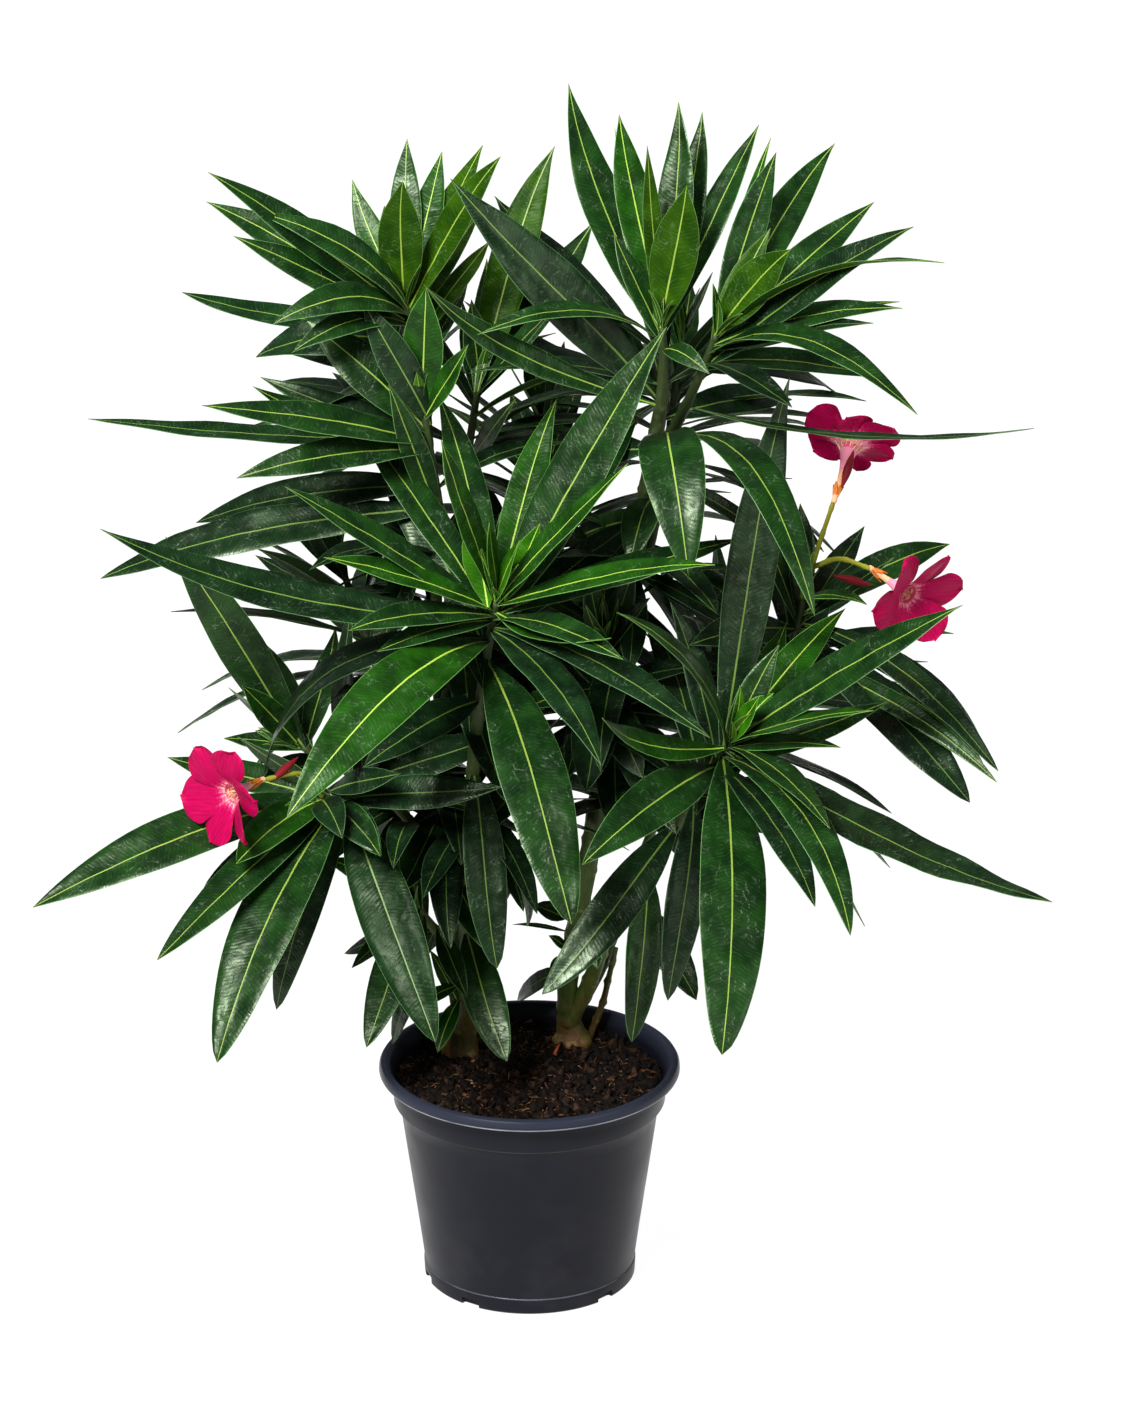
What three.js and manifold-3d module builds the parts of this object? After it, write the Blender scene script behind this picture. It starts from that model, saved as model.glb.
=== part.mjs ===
// A flowering oleander in a round nursery pot, with its stems, boughs, leafy shoots and blossoms.
// Millimetres: X to the right, Y away from the front, Z up, origin in the middle of the pot's underside.
import * as THREE from "three";
import { mergeVertices } from "three/addons/utils/BufferGeometryUtils.js";
import Module from "manifold-3d";

const wasm = await Module();
wasm.setup();

// Nursery pot: a rolled lip, a shoulder band under it, a tapering wall and a foot band
const POT_HEIGHT = 146;
const RIM_RADIUS = 95;
const RIM_INNER_RADIUS = 87.5;
const LIP_HEIGHT = 7.5;
const LIP_ROUND = 1.5;
const SHOULDER = { radius: 86.5, height: 18, step: 3.7, slope: 1.5 };
const FOOT = { radius: 68, height: 10, step: 1.6, round: 1 };
const WALL = 2.2;
const INNER_SLOPE = 3;
const FLOOR_THICKNESS = 3;
const POT_SEGMENTS = 36;
const NOTCH = { width: 13, height: 5, depth: 6 };
const NOTCH_TURNS = [-124, -44, 16, 76, 136, 196];

// Compost, and the clearances between solids
const SOIL_LEVEL = 134;
const SOIL_EDGE = 2;
const GAP = 0.3;
const FACET_GAP = 0.4;
const LEAF_CLEARANCE = 0.5;

// Points closer than this are one
const WELD = 1e-4;

// Fused solids are simplified by the first of these that leaves them sound on a fine grid
const SIMPLIFY = [0.12, 0.1, 0.15, 0.08, 0.2, 0.06, 0.25, 0.04, 0.3, 0.02];
const CORNER_GRID = 0.001;

// Limbs: number of sides, rings for each span between two points, and how fast a root flare fades
const LIMB_SIDES = 7;
const TWIG_SIDES = 3;
const TUBE_SIDES = 6;
const RINGS_PER_SPAN = 2;
const FLARE_FADE = 4;
const SHOOT_STEM = { base: 3.6, tip: 2.8 };
const STEM_SWELLS = [0, 0.05, 0.1, 0.15, 0.2];
const LOWEST_LEAF = 0.04;

// Leaves: the half width at each share of the length, and the thickness as a share of the length
const LEAF_OUTLINE = [[0.16, 0.5], [0.42, 1], [0.72, 0.8]];
const LEAF_THICKNESS = 0.012;
const LEAF_FOLD = 0.16;
const LEAF_WIDTH = { least: 14, share: 0.085 };
const ROOT_SINK = 1.2;

// The whorls of three that fill a shoot, from its heart down its stem
const WHORL = {
  leaves: 3, start: 4, gap: 13, turnStep: 60, turnSpread: 14, topLean: 22, lowLean: 108, leanSpread: 8,
  topReach: 60, fullAt: 0.62, reachSpread: [0.85, 1.1], arch: 0.1,
};
const SAME_PLACE = 24;
const SWINGS = [2, 4, 7, 11];
const SWING_WAYS = 8;
const SEED = 20;

const COLOURS = {
  pot: { color: 0x23262c, roughness: 0.45, metalness: 0 },
  soil: { color: 0x2a1c14, roughness: 1, metalness: 0 },
  bark: { color: 0x76703f, roughness: 0.8, metalness: 0 },
  leaf: { color: 0x1f4a22, roughness: 0.4, metalness: 0 },
  petal: { color: 0xc3134c, roughness: 0.6, metalness: 0 },
};

// Limbs as points from the base to the tip, with the radius at each end and the flare of the root.
// A bough begins inside its stem and is cut back there.
const LIMBS = {
  stem_left: {
    points: [[-44, 38, 134], [-40, 37, 162], [-39, 22, 246], [-39, 2, 298], [-36, -12, 327]],
    base: 6.2, tip: 4.2, flare: 6.5,
  },
  stem_right: {
    points: [[27, 54, 134], [24, 53, 166], [26, 50, 192], [35, 42, 251], [47, 34, 335], [61, 26, 432],
      [71, 22, 511], [77, 20, 551]],
    base: 6.6, tip: 4.8, flare: 6,
  },
  bough_left_tall: {
    points: [[-40, 38, 163], [-47, 40, 200], [-50, 40, 273], [-56, 40, 374], [-58, 33, 469],
      [-62, 25, 556]],
    base: 4.6, tip: 3.4, flare: 0,
  },
  bough_left_mid: {
    points: [[-55, 39, 348], [-50, 22, 395], [-49, 3, 469]],
    base: 3.6, tip: 2.9, flare: 0,
  },
  bough_centre_back: {
    points: [[-56, 40, 370], [-48, 52, 420], [-44, 52, 489]],
    base: 3.6, tip: 2.9, flare: 0,
  },
  bough_left_low: {
    points: [[-39, 19, 255], [-60, 7, 288], [-83, -8, 322]],
    base: 4, tip: 3, flare: 0,
  },
  bough_left_back: {
    points: [[-50, 40, 253], [-72, 33, 288], [-93, 20, 317]],
    base: 3.6, tip: 2.9, flare: 0,
  },
  bough_rear_left: {
    points: [[-54, 40, 320], [-70, 60, 350], [-92, 78, 372]],
    base: 3.6, tip: 2.9, flare: 0,
  },
  bough_front_right: {
    points: [[26, 52, 150], [38, 48, 178], [50, 30, 222], [62, 12, 252]],
    base: 5.4, tip: 4, flare: 0,
  },
  bough_right_mid: {
    points: [[39, 40, 276], [94, 32, 315], [131, 18, 345], [148, 10, 365]],
    base: 4, tip: 3, flare: 0,
  },
  bough_rear_right: {
    points: [[27, 54, 150], [42, 66, 172], [66, 80, 235], [92, 92, 305]],
    base: 3.8, tip: 2.9, flare: 0,
  },
  bough_rear_centre: {
    points: [[47, 34, 335], [34, 62, 372], [22, 84, 430]],
    base: 3.8, tip: 2.9, flare: 0,
  },
  bough_rear_high_left: {
    points: [[-57, 37, 430], [-68, 62, 470], [-74, 78, 520]],
    base: 3.4, tip: 2.8, flare: 0,
  },
  bough_rear_high_right: {
    points: [[62, 26, 440], [74, 56, 466], [84, 76, 505]],
    base: 3.6, tip: 2.8, flare: 0,
  },
};

// Shoots: the foot (the limb whose tip the shoot goes on from, or a place inside a limb), the bend and
// the heart of the stem, and the way that the blades face where that isn't along the stem. Then the
// leaves that show: [down from the heart, turn from +X, rise above level, reach, arch, width, roll].
// Last, the whorls that fill the shoot, the reach of their leaves, and their sector (middle and half).
const SHOOTS = {
  crown_front_centre: {
    foot: "stem_left", bend: [-31, -45, 406], heart: [-19, -75, 480],
    leaves: [
      [14, -173, 16, 245, -18, 38], [10, -163, 36, 160, 0, 30], [8, -153, 25, 125, 5],
      [14, 126, 39, 165], [6, 109, 43, 150], [4, -146, 71, 120], [2, 79, 35, 100], [4, 69, 44, 145],
      [6, -22, 50, 135, 5], [4, -23, 18, 150, 5], [8, -50, 7, 110, -8], [16, -49, 4, 120, 10],
      [24, -63, -14, 150, 14, 30], [48, -70, -37, 190, 22, 42], [34, -126, -14, 205, 34, 42],
      [30, 161, -36, 185, 40], [12, -142, 8, 110, 6], [22, -41, -9, 175, 16], [0, -105, 72, 60],
      [0, -44, 64, 50], [24, 10, 60, 215, 0, 44], [16, -140, 1, 90, 6], [140, -75, -62, 125, 10, 26],
      [12, 12, 14, 160, 6],
    ],
    fill: { whorls: 4, reach: 140, sector: [90, 75] },
  },
  crown_front_right: {
    foot: "bough_front_right", bend: [88, -50, 319], heart: [122, -95, 398],
    leaves: [
      [14, -91, -38, 205, 16, 42], [8, -35, -11, 235, -8, 38], [6, -22, 37, 185, 6, 36],
      [4, 48, 28, 125], [2, 63, 33, 95], [4, -40, 24, 120, 5], [6, -137, 24, 115, -14],
      [10, -134, 50, 150, 16], [16, -64, -18, 175, 26], [24, -65, -18, 140, 12], [6, -59, -7, 115, 10],
      [26, -123, -5, 150, 14, 34], [62, -105, -60, 125, 12], [150, -100, -58, 110, 8],
      [90, -130, -45, 140, 12, 32], [8, -35, 13, 85], [16, 63, 67, 235, 0, 38], [0, -50, 54, 45],
      [0, 20, 45, 40],
    ],
    fill: { whorls: 5, reach: 140, sector: [80, 75] },
  },
  crown_left_low: {
    foot: "bough_left_low", bend: [-104, -22, 334], heart: [-125, -35, 336], face: [-115, 48],
    leaves: [
      [6, -149, -4, 200, 18, 40], [10, -134, -22, 165, 8, 30], [14, -118, -37, 195, 20, 42],
      [20, -140, -64, 140, 10], [16, -63, -43, 170, 8, 36], [0, -128, -11, 85, 6, 32],
      [2, 154, 7, 120, 6], [6, -63, -11, 70, 4], [8, -166, -32, 100], [24, 156, -62, 90, 4],
    ],
    fill: { whorls: 3, reach: 120, sector: [120, 80] },
  },
  crown_left_back: {
    foot: "bough_left_back", bend: [-118, 22, 337], heart: [-141, 20, 349], face: [-110, 40],
    leaves: [[4, -170, 60, 170, 8, 34], [0, -133, 48, 75], [2, 77, 35, 95], [8, 111, 22, 110]],
    fill: { whorls: 4, reach: 130, sector: [110, 80] },
  },
  crown_left_mid: {
    foot: "bough_left_mid", bend: [-54, -5, 521], heart: [-63, -10, 577], face: [-100, 50],
    leaves: [
      [14, 168, -1, 215, -6, 24, -20], [20, -160, 16, 150, 10, 26], [24, -159, -1, 125, 10],
      [8, 158, 10, 110, -20], [62, 176, -13, 215, 14, 32], [46, 161, -15, 165, 10],
      [0, -75, 81, 85, 0, 30], [0, -161, 61, 50], [4, -46, 55, 70], [12, 170, 42, 100, 10, 34],
    ],
    fill: { whorls: 5, reach: 120, sector: [110, 80] },
  },
  crown_upper_left: {
    foot: "bough_left_tall", bend: [-66, 22, 595], heart: [-74, 15, 638], face: [-100, 50],
    leaves: [
      [6, -161, 39, 160], [4, -166, 36, 120, 24], [10, 144, 17, 165], [12, -167, 30, 125, 4],
      [12, 161, 2, 150, -6, 24, -20], [8, -144, 8, 100, 20, 26], [4, 121, 45, 95, -6],
      [2, 90, 54, 110], [2, 71, 51, 105], [4, 55, 47, 118], [6, -15, 60, 120], [0, -88, 78, 85, 0, 32],
      [0, -172, 79, 65], [14, -141, 1, 90, 16], [28, 178, -4, 98, 18, 34],
    ],
    fill: { whorls: 4, reach: 110, sector: [90, 80] },
  },
  crown_centre_back: {
    foot: "bough_centre_back", bend: [-37, 54, 533], heart: [-31, 55, 575], face: [-80, 60],
    leaves: [
      [6, 48, 63, 160, 0, 32], [10, 46, 41, 140, 0, 30], [2, 69, 48, 95], [0, -109, 77, 60],
      [8, -41, 47, 95],
    ],
    fill: { whorls: 5, reach: 110, sector: [60, 100] },
  },
  crown_upper_right: {
    foot: "stem_right", bend: [84, 17, 581], heart: [81, 10, 626],
    leaves: [
      [6, 120, 49, 175, -8, 34], [4, 107, 52, 145, 0, 28], [4, 82, 62, 150], [6, 72, 56, 145],
      [6, 47, 53, 145], [2, 144, 84, 115, -6, 14], [0, 12, 80, 90, 0, 34], [44, 126, 28, 190, 0, 44],
      [44, 150, 10, 165, -8], [10, -156, 10, 125, 20, 24],
    ],
    fill: { whorls: 4, reach: 120, sector: [110, 90] },
  },
  crown_upper_right_front: {
    foot: [77, 20, 536], bend: [98, -5, 582], heart: [113, -25, 632], face: [-60, 50],
    leaves: [
      [0, -20, 51, 75, 0, 32], [6, 56, 34, 165], [8, 39, 27, 145], [30, -35, 38, 190, 4],
      [8, -27, 25, 165, 18], [10, -25, 18, 130, 8], [14, -33, 18, 120, 4], [18, -43, 0, 165, 32],
      [24, -58, -1, 95, 6], [2, 62, 50, 125], [92, -61, -18, 185, 45, 30], [88, -85, -24, 125, 38, 40],
      [60, -24, 4, 225, -12, 16, -30],
    ],
    fill: { whorls: 3, reach: 110, sector: [50, 60] },
  },
  crown_right_mid: {
    foot: "bough_right_mid", bend: [163, 0, 421], heart: [168, -5, 456], face: [-60, 50],
    leaves: [
      [14, 35, 11, 120, 12], [0, -42, 20, 60, 4], [20, -37, -24, 160, 24, 20],
      [30, -47, -24, 165, 10, 34], [24, 6, -36, 150, 26, 18],
    ],
    fill: { whorls: 7, reach: 120, sector: [80, 90] },
  },
  crown_inner_right: {
    foot: [50, 28, 362], bend: [46, 6, 382], heart: [46, -14, 425],
    leaves: [],
    fill: { whorls: 6, reach: 115, sector: [0, 180] },
  },
  crown_inner_left: {
    foot: [-35, 3, 296], bend: [-22, 10, 306], heart: [-8, 16, 338],
    leaves: [[8, -160, 6, 90, 8], [14, -20, 0, 95, 8]],
    fill: { whorls: 4, reach: 95, sector: [60, 140] },
  },
  crown_foot_left: {
    foot: [-53, 38, 212], bend: [-61, 35, 220], heart: [-70, 28, 238],
    leaves: [[20, -150, -66, 80, 4], [12, -150, -20, 60, 6], [6, -100, -35, 75, 4], [0, 160, 20, 70, 6]],
    fill: { whorls: 3, reach: 75, sector: [110, 90] },
  },
  crown_rear_left: {
    foot: "bough_rear_left", bend: [-105, 88, 405], heart: [-118, 98, 440],
    leaves: [],
    fill: { whorls: 8, reach: 150, sector: [110, 110] },
  },
  crown_rear_right: {
    foot: "bough_rear_right", bend: [108, 102, 350], heart: [122, 112, 395],
    leaves: [],
    fill: { whorls: 8, reach: 160, sector: [70, 110] },
  },
  crown_rear_centre: {
    foot: "bough_rear_centre", bend: [16, 98, 478], heart: [10, 108, 530],
    leaves: [],
    fill: { whorls: 8, reach: 150, sector: [90, 130] },
  },
  crown_rear_high_left: {
    foot: "bough_rear_high_left", bend: [-78, 86, 550], heart: [-84, 92, 590],
    leaves: [],
    fill: { whorls: 6, reach: 125, sector: [110, 110] },
  },
  crown_rear_high_right: {
    foot: "bough_rear_high_right", bend: [88, 86, 540], heart: [94, 94, 588],
    leaves: [],
    fill: { whorls: 6, reach: 130, sector: [70, 110] },
  },
};

// Blossoms, one or more flowers to a cluster: the stalk's points, the way that the flower looks as turn
// and rise, how far its petals spread from that way, and their reach
const BLOSSOMS = {
  blossom_left: [
    {
      stalk: [[-127, -38, 340], [-142, -55, 358], [-158, -66, 357]],
      looks: [-125, 10], spread: 82, reach: 25,
    },
  ],
  blossom_right: [
    { stalk: [[168, -5, 458], [178, -6, 492], [192, -14, 528]], looks: [80, 38], spread: 62, reach: 30 },
    {
      stalk: [[175, -5, 478], [190, -20, 474], [208, -28, 478]],
      looks: [-28, -14], spread: 66, reach: 32,
    },
  ],
};

const BLOOM = {
  petals: 5, tubeReach: 25, tubeSink: 3, tubeBase: 2.6, tubeMouth: 6, throat: 0.55, stalk: 1.6,
  petalWidth: 24, petalThickness: 1,
};

// The half width of a petal at each share of its length
const PETAL_OUTLINE = [[0.06, 0.16], [0.55, 0.8], [0.82, 1], [1, 0.45]];

const materials = {};
for (const [name, look] of Object.entries(COLOURS)) {
  materials[name] = new THREE.MeshStandardMaterial(look);
}

// A generator of numbers between 0 and 1, the same ones on every run
const GENERATOR = { multiplier: 16807, modulus: 2147483647 };

function generator(seed) {
  let state = seed;
  return () => {
    state = (state * GENERATOR.multiplier) % GENERATOR.modulus;
    return state / GENERATOR.modulus;
  };
}

function vector(place) {
  return new THREE.Vector3(...place);
}

function heading(turn, rise) {
  const level = Math.cos(THREE.MathUtils.degToRad(rise));
  const angle = THREE.MathUtils.degToRad(turn);
  return new THREE.Vector3(
    level * Math.cos(angle), level * Math.sin(angle), Math.sin(THREE.MathUtils.degToRad(rise)));
}

function mix(from, to, share) {
  return from + (to - from) * share;
}

// A solid from points and triangles
function solidFrom(points, triangles) {
  const vertProperties = new Float32Array(points.flatMap((point) => [point.x, point.y, point.z]));
  const triVerts = new Uint32Array(triangles.flat());
  return new wasm.Manifold(new wasm.Mesh({ numProp: 3, vertProperties, triVerts }));
}

// A solid from a closed geometry, without the flat triangles that a lathe leaves on its axis
function solidOf(geometry) {
  const bare = geometry.clone();
  bare.deleteAttribute("normal");
  bare.deleteAttribute("uv");
  const merged = mergeVertices(bare, WELD);
  const place = merged.getAttribute("position");
  const points = [];
  for (let i = 0; i < place.count; i += 1) {
    points.push(new THREE.Vector3().fromBufferAttribute(place, i));
  }
  const index = merged.getIndex().array;
  const triangles = [];
  for (let i = 0; i < index.length; i += 3) {
    const [a, b, c] = [index[i], index[i + 1], index[i + 2]];
    if (a !== b && b !== c && c !== a) {
      triangles.push([a, b, c]);
    }
  }
  return solidFrom(points, triangles);
}

// The largest piece alone: loose scraps and sealed hollows fall away
function largest(solid) {
  const pieces = solid.decompose();
  return pieces.reduce((best, piece) => (piece.volume() > best.volume() ? piece : best));
}

// With its corners on a fine grid, a sound solid still has two faces on every edge
function isSound(solid) {
  const { vertProperties, triVerts } = solid.getMesh();
  const corner = (vertex) => Array.from(vertProperties.subarray(3 * vertex, 3 * vertex + 3))
    .map((value) => Math.round(value / CORNER_GRID)).join(" ");
  const faces = new Map();
  for (let i = 0; i < triVerts.length; i += 3) {
    const corners = Array.from(triVerts.subarray(i, i + 3)).map(corner);
    if (new Set(corners).size === 3) {
      for (let side = 0; side < 3; side += 1) {
        const edge = [corners[side], corners[(side + 1) % 3]].sort().join(", ");
        faces.set(edge, (faces.get(edge) ?? 0) + 1);
      }
    }
  }
  return [...faces.values()].every((count) => count === 2);
}

// The first simpler form of the solid that is sound, or nothing where none is
function simplified(solid) {
  const whole = largest(solid);
  return SIMPLIFY.map((tolerance) => largest(whole.simplify(tolerance))).find(isSound);
}

function meshOf(name, solid, material) {
  const mesh = simplified(solid).getMesh();
  const geometry = new THREE.BufferGeometry();
  geometry.setAttribute("position", new THREE.BufferAttribute(new Float32Array(mesh.vertProperties), 3));
  geometry.setIndex(new THREE.BufferAttribute(new Uint32Array(mesh.triVerts), 1));
  geometry.computeVertexNormals();
  const made = new THREE.Mesh(geometry, material);
  made.name = name;
  return made;
}

// A closed skin over rings of points, each ring anticlockwise as seen from the far end. A root or a
// tip, where there is one, closes that end with a point, and a flat cut closes it otherwise.
function loft(rings, tip, root) {
  const sides = rings[0].length;
  const points = rings.flat();
  const triangles = [];
  for (let ring = 0; ring + 1 < rings.length; ring += 1) {
    for (let side = 0; side < sides; side += 1) {
      const a = ring * sides + side;
      const b = ring * sides + ((side + 1) % sides);
      triangles.push([a, b, b + sides], [a, b + sides, a + sides]);
    }
  }
  if (root) {
    points.push(root);
    for (let side = 0; side < sides; side += 1) {
      triangles.push([(side + 1) % sides, side, points.length - 1]);
    }
  } else {
    for (let side = 1; side + 1 < sides; side += 1) {
      triangles.push([0, side + 1, side]);
    }
  }
  const last = (rings.length - 1) * sides;
  if (tip) {
    points.push(tip);
    for (let side = 0; side < sides; side += 1) {
      triangles.push([last + side, last + ((side + 1) % sides), points.length - 1]);
    }
  } else {
    for (let side = 1; side + 1 < sides; side += 1) {
      triangles.push([last, last + side, last + side + 1]);
    }
  }
  return solidFrom(points, triangles);
}

function circle(centre, across, upward, radius, sides) {
  return Array.from({ length: sides }, (_, side) => {
    const angle = (side / sides) * 2 * Math.PI;
    return centre.clone().addScaledVector(across, radius * Math.cos(angle))
      .addScaledVector(upward, radius * Math.sin(angle));
  });
}

// A tapering limb along a smooth curve. A limb with a flare stands on the compost with a flat cut.
function limb({ points, base, tip, flare }, sides = LIMB_SIDES, grow = 0) {
  const curve = new THREE.CatmullRomCurve3(points.map(vector));
  const count = (points.length - 1) * RINGS_PER_SPAN;
  const frames = curve.computeFrenetFrames(count, false);
  const length = curve.getLength();
  const rings = [];
  for (let i = 0; i <= count; i += 1) {
    const share = i / count;
    const swell = flare * Math.exp((-share * length) / (flare + FLARE_FADE));
    const radius = mix(base, tip, share) + swell + grow;
    rings.push(circle(curve.getPointAt(share), frames.normals[i], frames.binormals[i], radius, sides));
  }
  rings[0].forEach((point) => point.addScaledVector(frames.tangents[0], -grow));
  rings[count].forEach((point) => point.addScaledVector(frames.tangents[count], grow));
  if (flare > 0) {
    rings[0].forEach((point) => point.setZ(SOIL_LEVEL + GAP - grow));
  }
  return loft(rings);
}

// A shoot that goes on from a limb begins a gap beyond the limb's tip
function footOf(shoot) {
  if (Array.isArray(shoot.foot)) {
    return vector(shoot.foot);
  }
  const curve = new THREE.CatmullRomCurve3(LIMBS[shoot.foot].points.map(vector));
  return curve.getPoint(1).addScaledVector(curve.getTangent(1), FACET_GAP);
}

// The stem of a shoot is one bent curve from its foot to its heart
function shootCurve(shoot) {
  return new THREE.QuadraticBezierCurve3(footOf(shoot), vector(shoot.bend), vector(shoot.heart));
}

function shootLength(shoot) {
  const bend = vector(shoot.bend);
  return footOf(shoot).distanceTo(bend) + bend.distanceTo(vector(shoot.heart));
}

// Where a leaf leaves the stem: the place, and the way that the stem points there
function stemAt(shoot, down) {
  const curve = shootCurve(shoot);
  const share = Math.max(LOWEST_LEAF, 1 - down / shootLength(shoot));
  return { place: curve.getPoint(share), axis: curve.getTangent(share) };
}

// A leaf: a folded blade of four-cornered rings on an arched line from its root to its tip
function blade(leaf, grow = 0) {
  const { root, axis, direction, reach, arch, width, roll } = leaf;
  const upper = axis.clone().addScaledVector(direction, -axis.dot(direction)).normalize();
  upper.applyAxisAngle(direction, THREE.MathUtils.degToRad(roll));
  const tip = root.clone().addScaledVector(direction, reach + grow);
  const thickness = LEAF_THICKNESS * reach + 2 * grow;
  const rings = LEAF_OUTLINE.map(([share, half]) => {
    const bow = 4 * arch * share * (1 - share);
    const slope = 4 * arch * (1 - 2 * share);
    const centre = root.clone().lerp(tip, share).addScaledVector(upper, bow);
    const along = direction.clone().multiplyScalar(reach).addScaledVector(upper, slope).normalize();
    const normal = upper.clone().addScaledVector(along, -upper.dot(along)).normalize();
    const side = along.clone().cross(normal);
    const reachOut = (half * width) / 2 + grow;
    const lift = LEAF_FOLD * half * width;
    const fold = centre.clone().addScaledVector(normal, lift);
    return [
      centre.clone().addScaledVector(normal, thickness / 2),
      fold.clone().addScaledVector(side, reachOut),
      centre.clone().addScaledVector(normal, -thickness / 2),
      fold.clone().addScaledVector(side, -reachOut),
    ];
  });
  return loft(rings, tip, root);
}

// Everything that is placed so far, so that what comes later keeps clear of it
const taken = [];

function claim(owner, solid) {
  taken.push({ owner, solid, box: solid.boundingBox() });
}

function boxesMeet(one, other) {
  return [0, 1, 2].every((axis) => one.min[axis] <= other.max[axis] && other.min[axis] <= one.max[axis]);
}

function isClear(owner, solid) {
  const box = solid.boundingBox();
  return !taken.some((other) => other.owner !== owner && boxesMeet(box, other.box)
    && !solid.intersect(other.solid).isEmpty());
}

function latheSolid(profile) {
  const turned = new THREE.LatheGeometry(profile.map(([r, z]) => new THREE.Vector2(r, z)), POT_SEGMENTS);
  turned.rotateX(Math.PI / 2);
  return solidOf(turned);
}

const LIP_UNDER = POT_HEIGHT - LIP_HEIGHT;
const SHOULDER_UNDER = LIP_UNDER - SHOULDER.height;
const WALL_TOP_RADIUS = SHOULDER.radius - SHOULDER.step;
const WALL_FOOT_RADIUS = FOOT.radius - FOOT.step;

function potSolid() {
  let pot = latheSolid([
    [0, 0],
    [FOOT.radius - FOOT.round, 0],
    [FOOT.radius, FOOT.round],
    [FOOT.radius, FOOT.height],
    [WALL_FOOT_RADIUS, FOOT.height + FOOT.round],
    [WALL_TOP_RADIUS, SHOULDER_UNDER - SHOULDER.slope],
    [SHOULDER.radius - SHOULDER.slope, SHOULDER_UNDER],
    [SHOULDER.radius, LIP_UNDER],
    [RIM_RADIUS - LIP_ROUND, LIP_UNDER],
    [RIM_RADIUS, LIP_UNDER + LIP_ROUND],
    [RIM_RADIUS, POT_HEIGHT - LIP_ROUND],
    [RIM_RADIUS - LIP_ROUND, POT_HEIGHT],
    [RIM_INNER_RADIUS + LIP_ROUND, POT_HEIGHT],
    [RIM_INNER_RADIUS, POT_HEIGHT - LIP_ROUND],
    [SHOULDER.radius - WALL, LIP_UNDER - INNER_SLOPE],
    [WALL_TOP_RADIUS - WALL, SHOULDER_UNDER - INNER_SLOPE],
    [WALL_FOOT_RADIUS - WALL, FLOOR_THICKNESS],
    [0, FLOOR_THICKNESS],
  ]);
  for (const turn of NOTCH_TURNS) {
    const box = new THREE.BoxGeometry(NOTCH.depth, NOTCH.width, 2 * NOTCH.height);
    box.translate(FOOT.radius, 0, 0);
    box.rotateZ(THREE.MathUtils.degToRad(turn));
    pot = pot.subtract(solidOf(box));
  }
  return pot;
}

// The compost fills the pot's inside, a little clear of its wall
function soilSolid() {
  const inside = WALL + GAP;
  return latheSolid([
    [0, FLOOR_THICKNESS + GAP],
    [WALL_FOOT_RADIUS - inside, FLOOR_THICKNESS + GAP],
    [WALL_TOP_RADIUS - inside - GAP, SHOULDER_UNDER - INNER_SLOPE],
    [SHOULDER.radius - inside - GAP, SOIL_LEVEL - SOIL_EDGE / 2],
    [SHOULDER.radius - inside - SOIL_EDGE, SOIL_LEVEL],
    [0, SOIL_LEVEL],
  ]);
}

// Stems and boughs in order: each is cut back to stay a gap clear of those before it
function limbSolids() {
  const solids = {};
  for (const [name, plan] of Object.entries(LIMBS)) {
    let solid = limb(plan);
    for (const earlier of Object.keys(solids)) {
      solid = largest(solid.subtract(limb(LIMBS[earlier], LIMB_SIDES, FACET_GAP)));
    }
    solids[name] = solid;
    claim(name, solid);
  }
  return solids;
}

function clearOfLimbs(solid) {
  let cut = solid;
  for (const plan of Object.values(LIMBS)) {
    cut = cut.subtract(limb(plan, LIMB_SIDES, FACET_GAP));
  }
  return largest(cut);
}

function shootStem(shoot, grow = 0) {
  const curve = shootCurve(shoot);
  const points = [0, 0.5, 1].map((share) => curve.getPoint(share).toArray());
  return limb({ points, base: SHOOT_STEM.base, tip: SHOOT_STEM.tip, flare: 0 }, TWIG_SIDES, grow);
}

function clearOfStems(solid) {
  return Object.values(SHOOTS).reduce((cut, shoot) => cut.subtract(shootStem(shoot, FACET_GAP)), solid);
}

// A stalk with a flower on it: a widening tube and five petals round its mouth
function flowerSolid({ stalk, looks, spread, reach }) {
  const end = vector(stalk[stalk.length - 1]);
  const way = heading(...looks);
  const mouth = end.clone().addScaledVector(way, BLOOM.tubeReach);
  const rod = limb({ points: stalk, base: BLOOM.stalk, tip: BLOOM.stalk, flare: 0 }, TWIG_SIDES);
  const tube = limb({
    points: [end.clone().addScaledVector(way, -BLOOM.tubeSink).toArray(), mouth.toArray()],
    base: BLOOM.tubeBase, tip: BLOOM.tubeMouth, flare: 0,
  }, TUBE_SIDES);
  const aside = new THREE.Vector3(0, 0, 1).cross(way).normalize();
  const inner = end.clone().addScaledVector(way, BLOOM.tubeReach * BLOOM.throat);
  const petals = [];
  for (let i = 0; i < BLOOM.petals; i += 1) {
    const outward = aside.clone().applyAxisAngle(way, (i / BLOOM.petals) * 2 * Math.PI);
    const lean = THREE.MathUtils.degToRad(spread);
    const direction = way.clone().multiplyScalar(Math.cos(lean)).addScaledVector(outward, Math.sin(lean));
    petals.push(petal(inner, way, direction.normalize(), reach + BLOOM.tubeMouth));
  }
  return [tube, ...petals].reduce((sum, piece) => sum.add(piece), rod);
}

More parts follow.
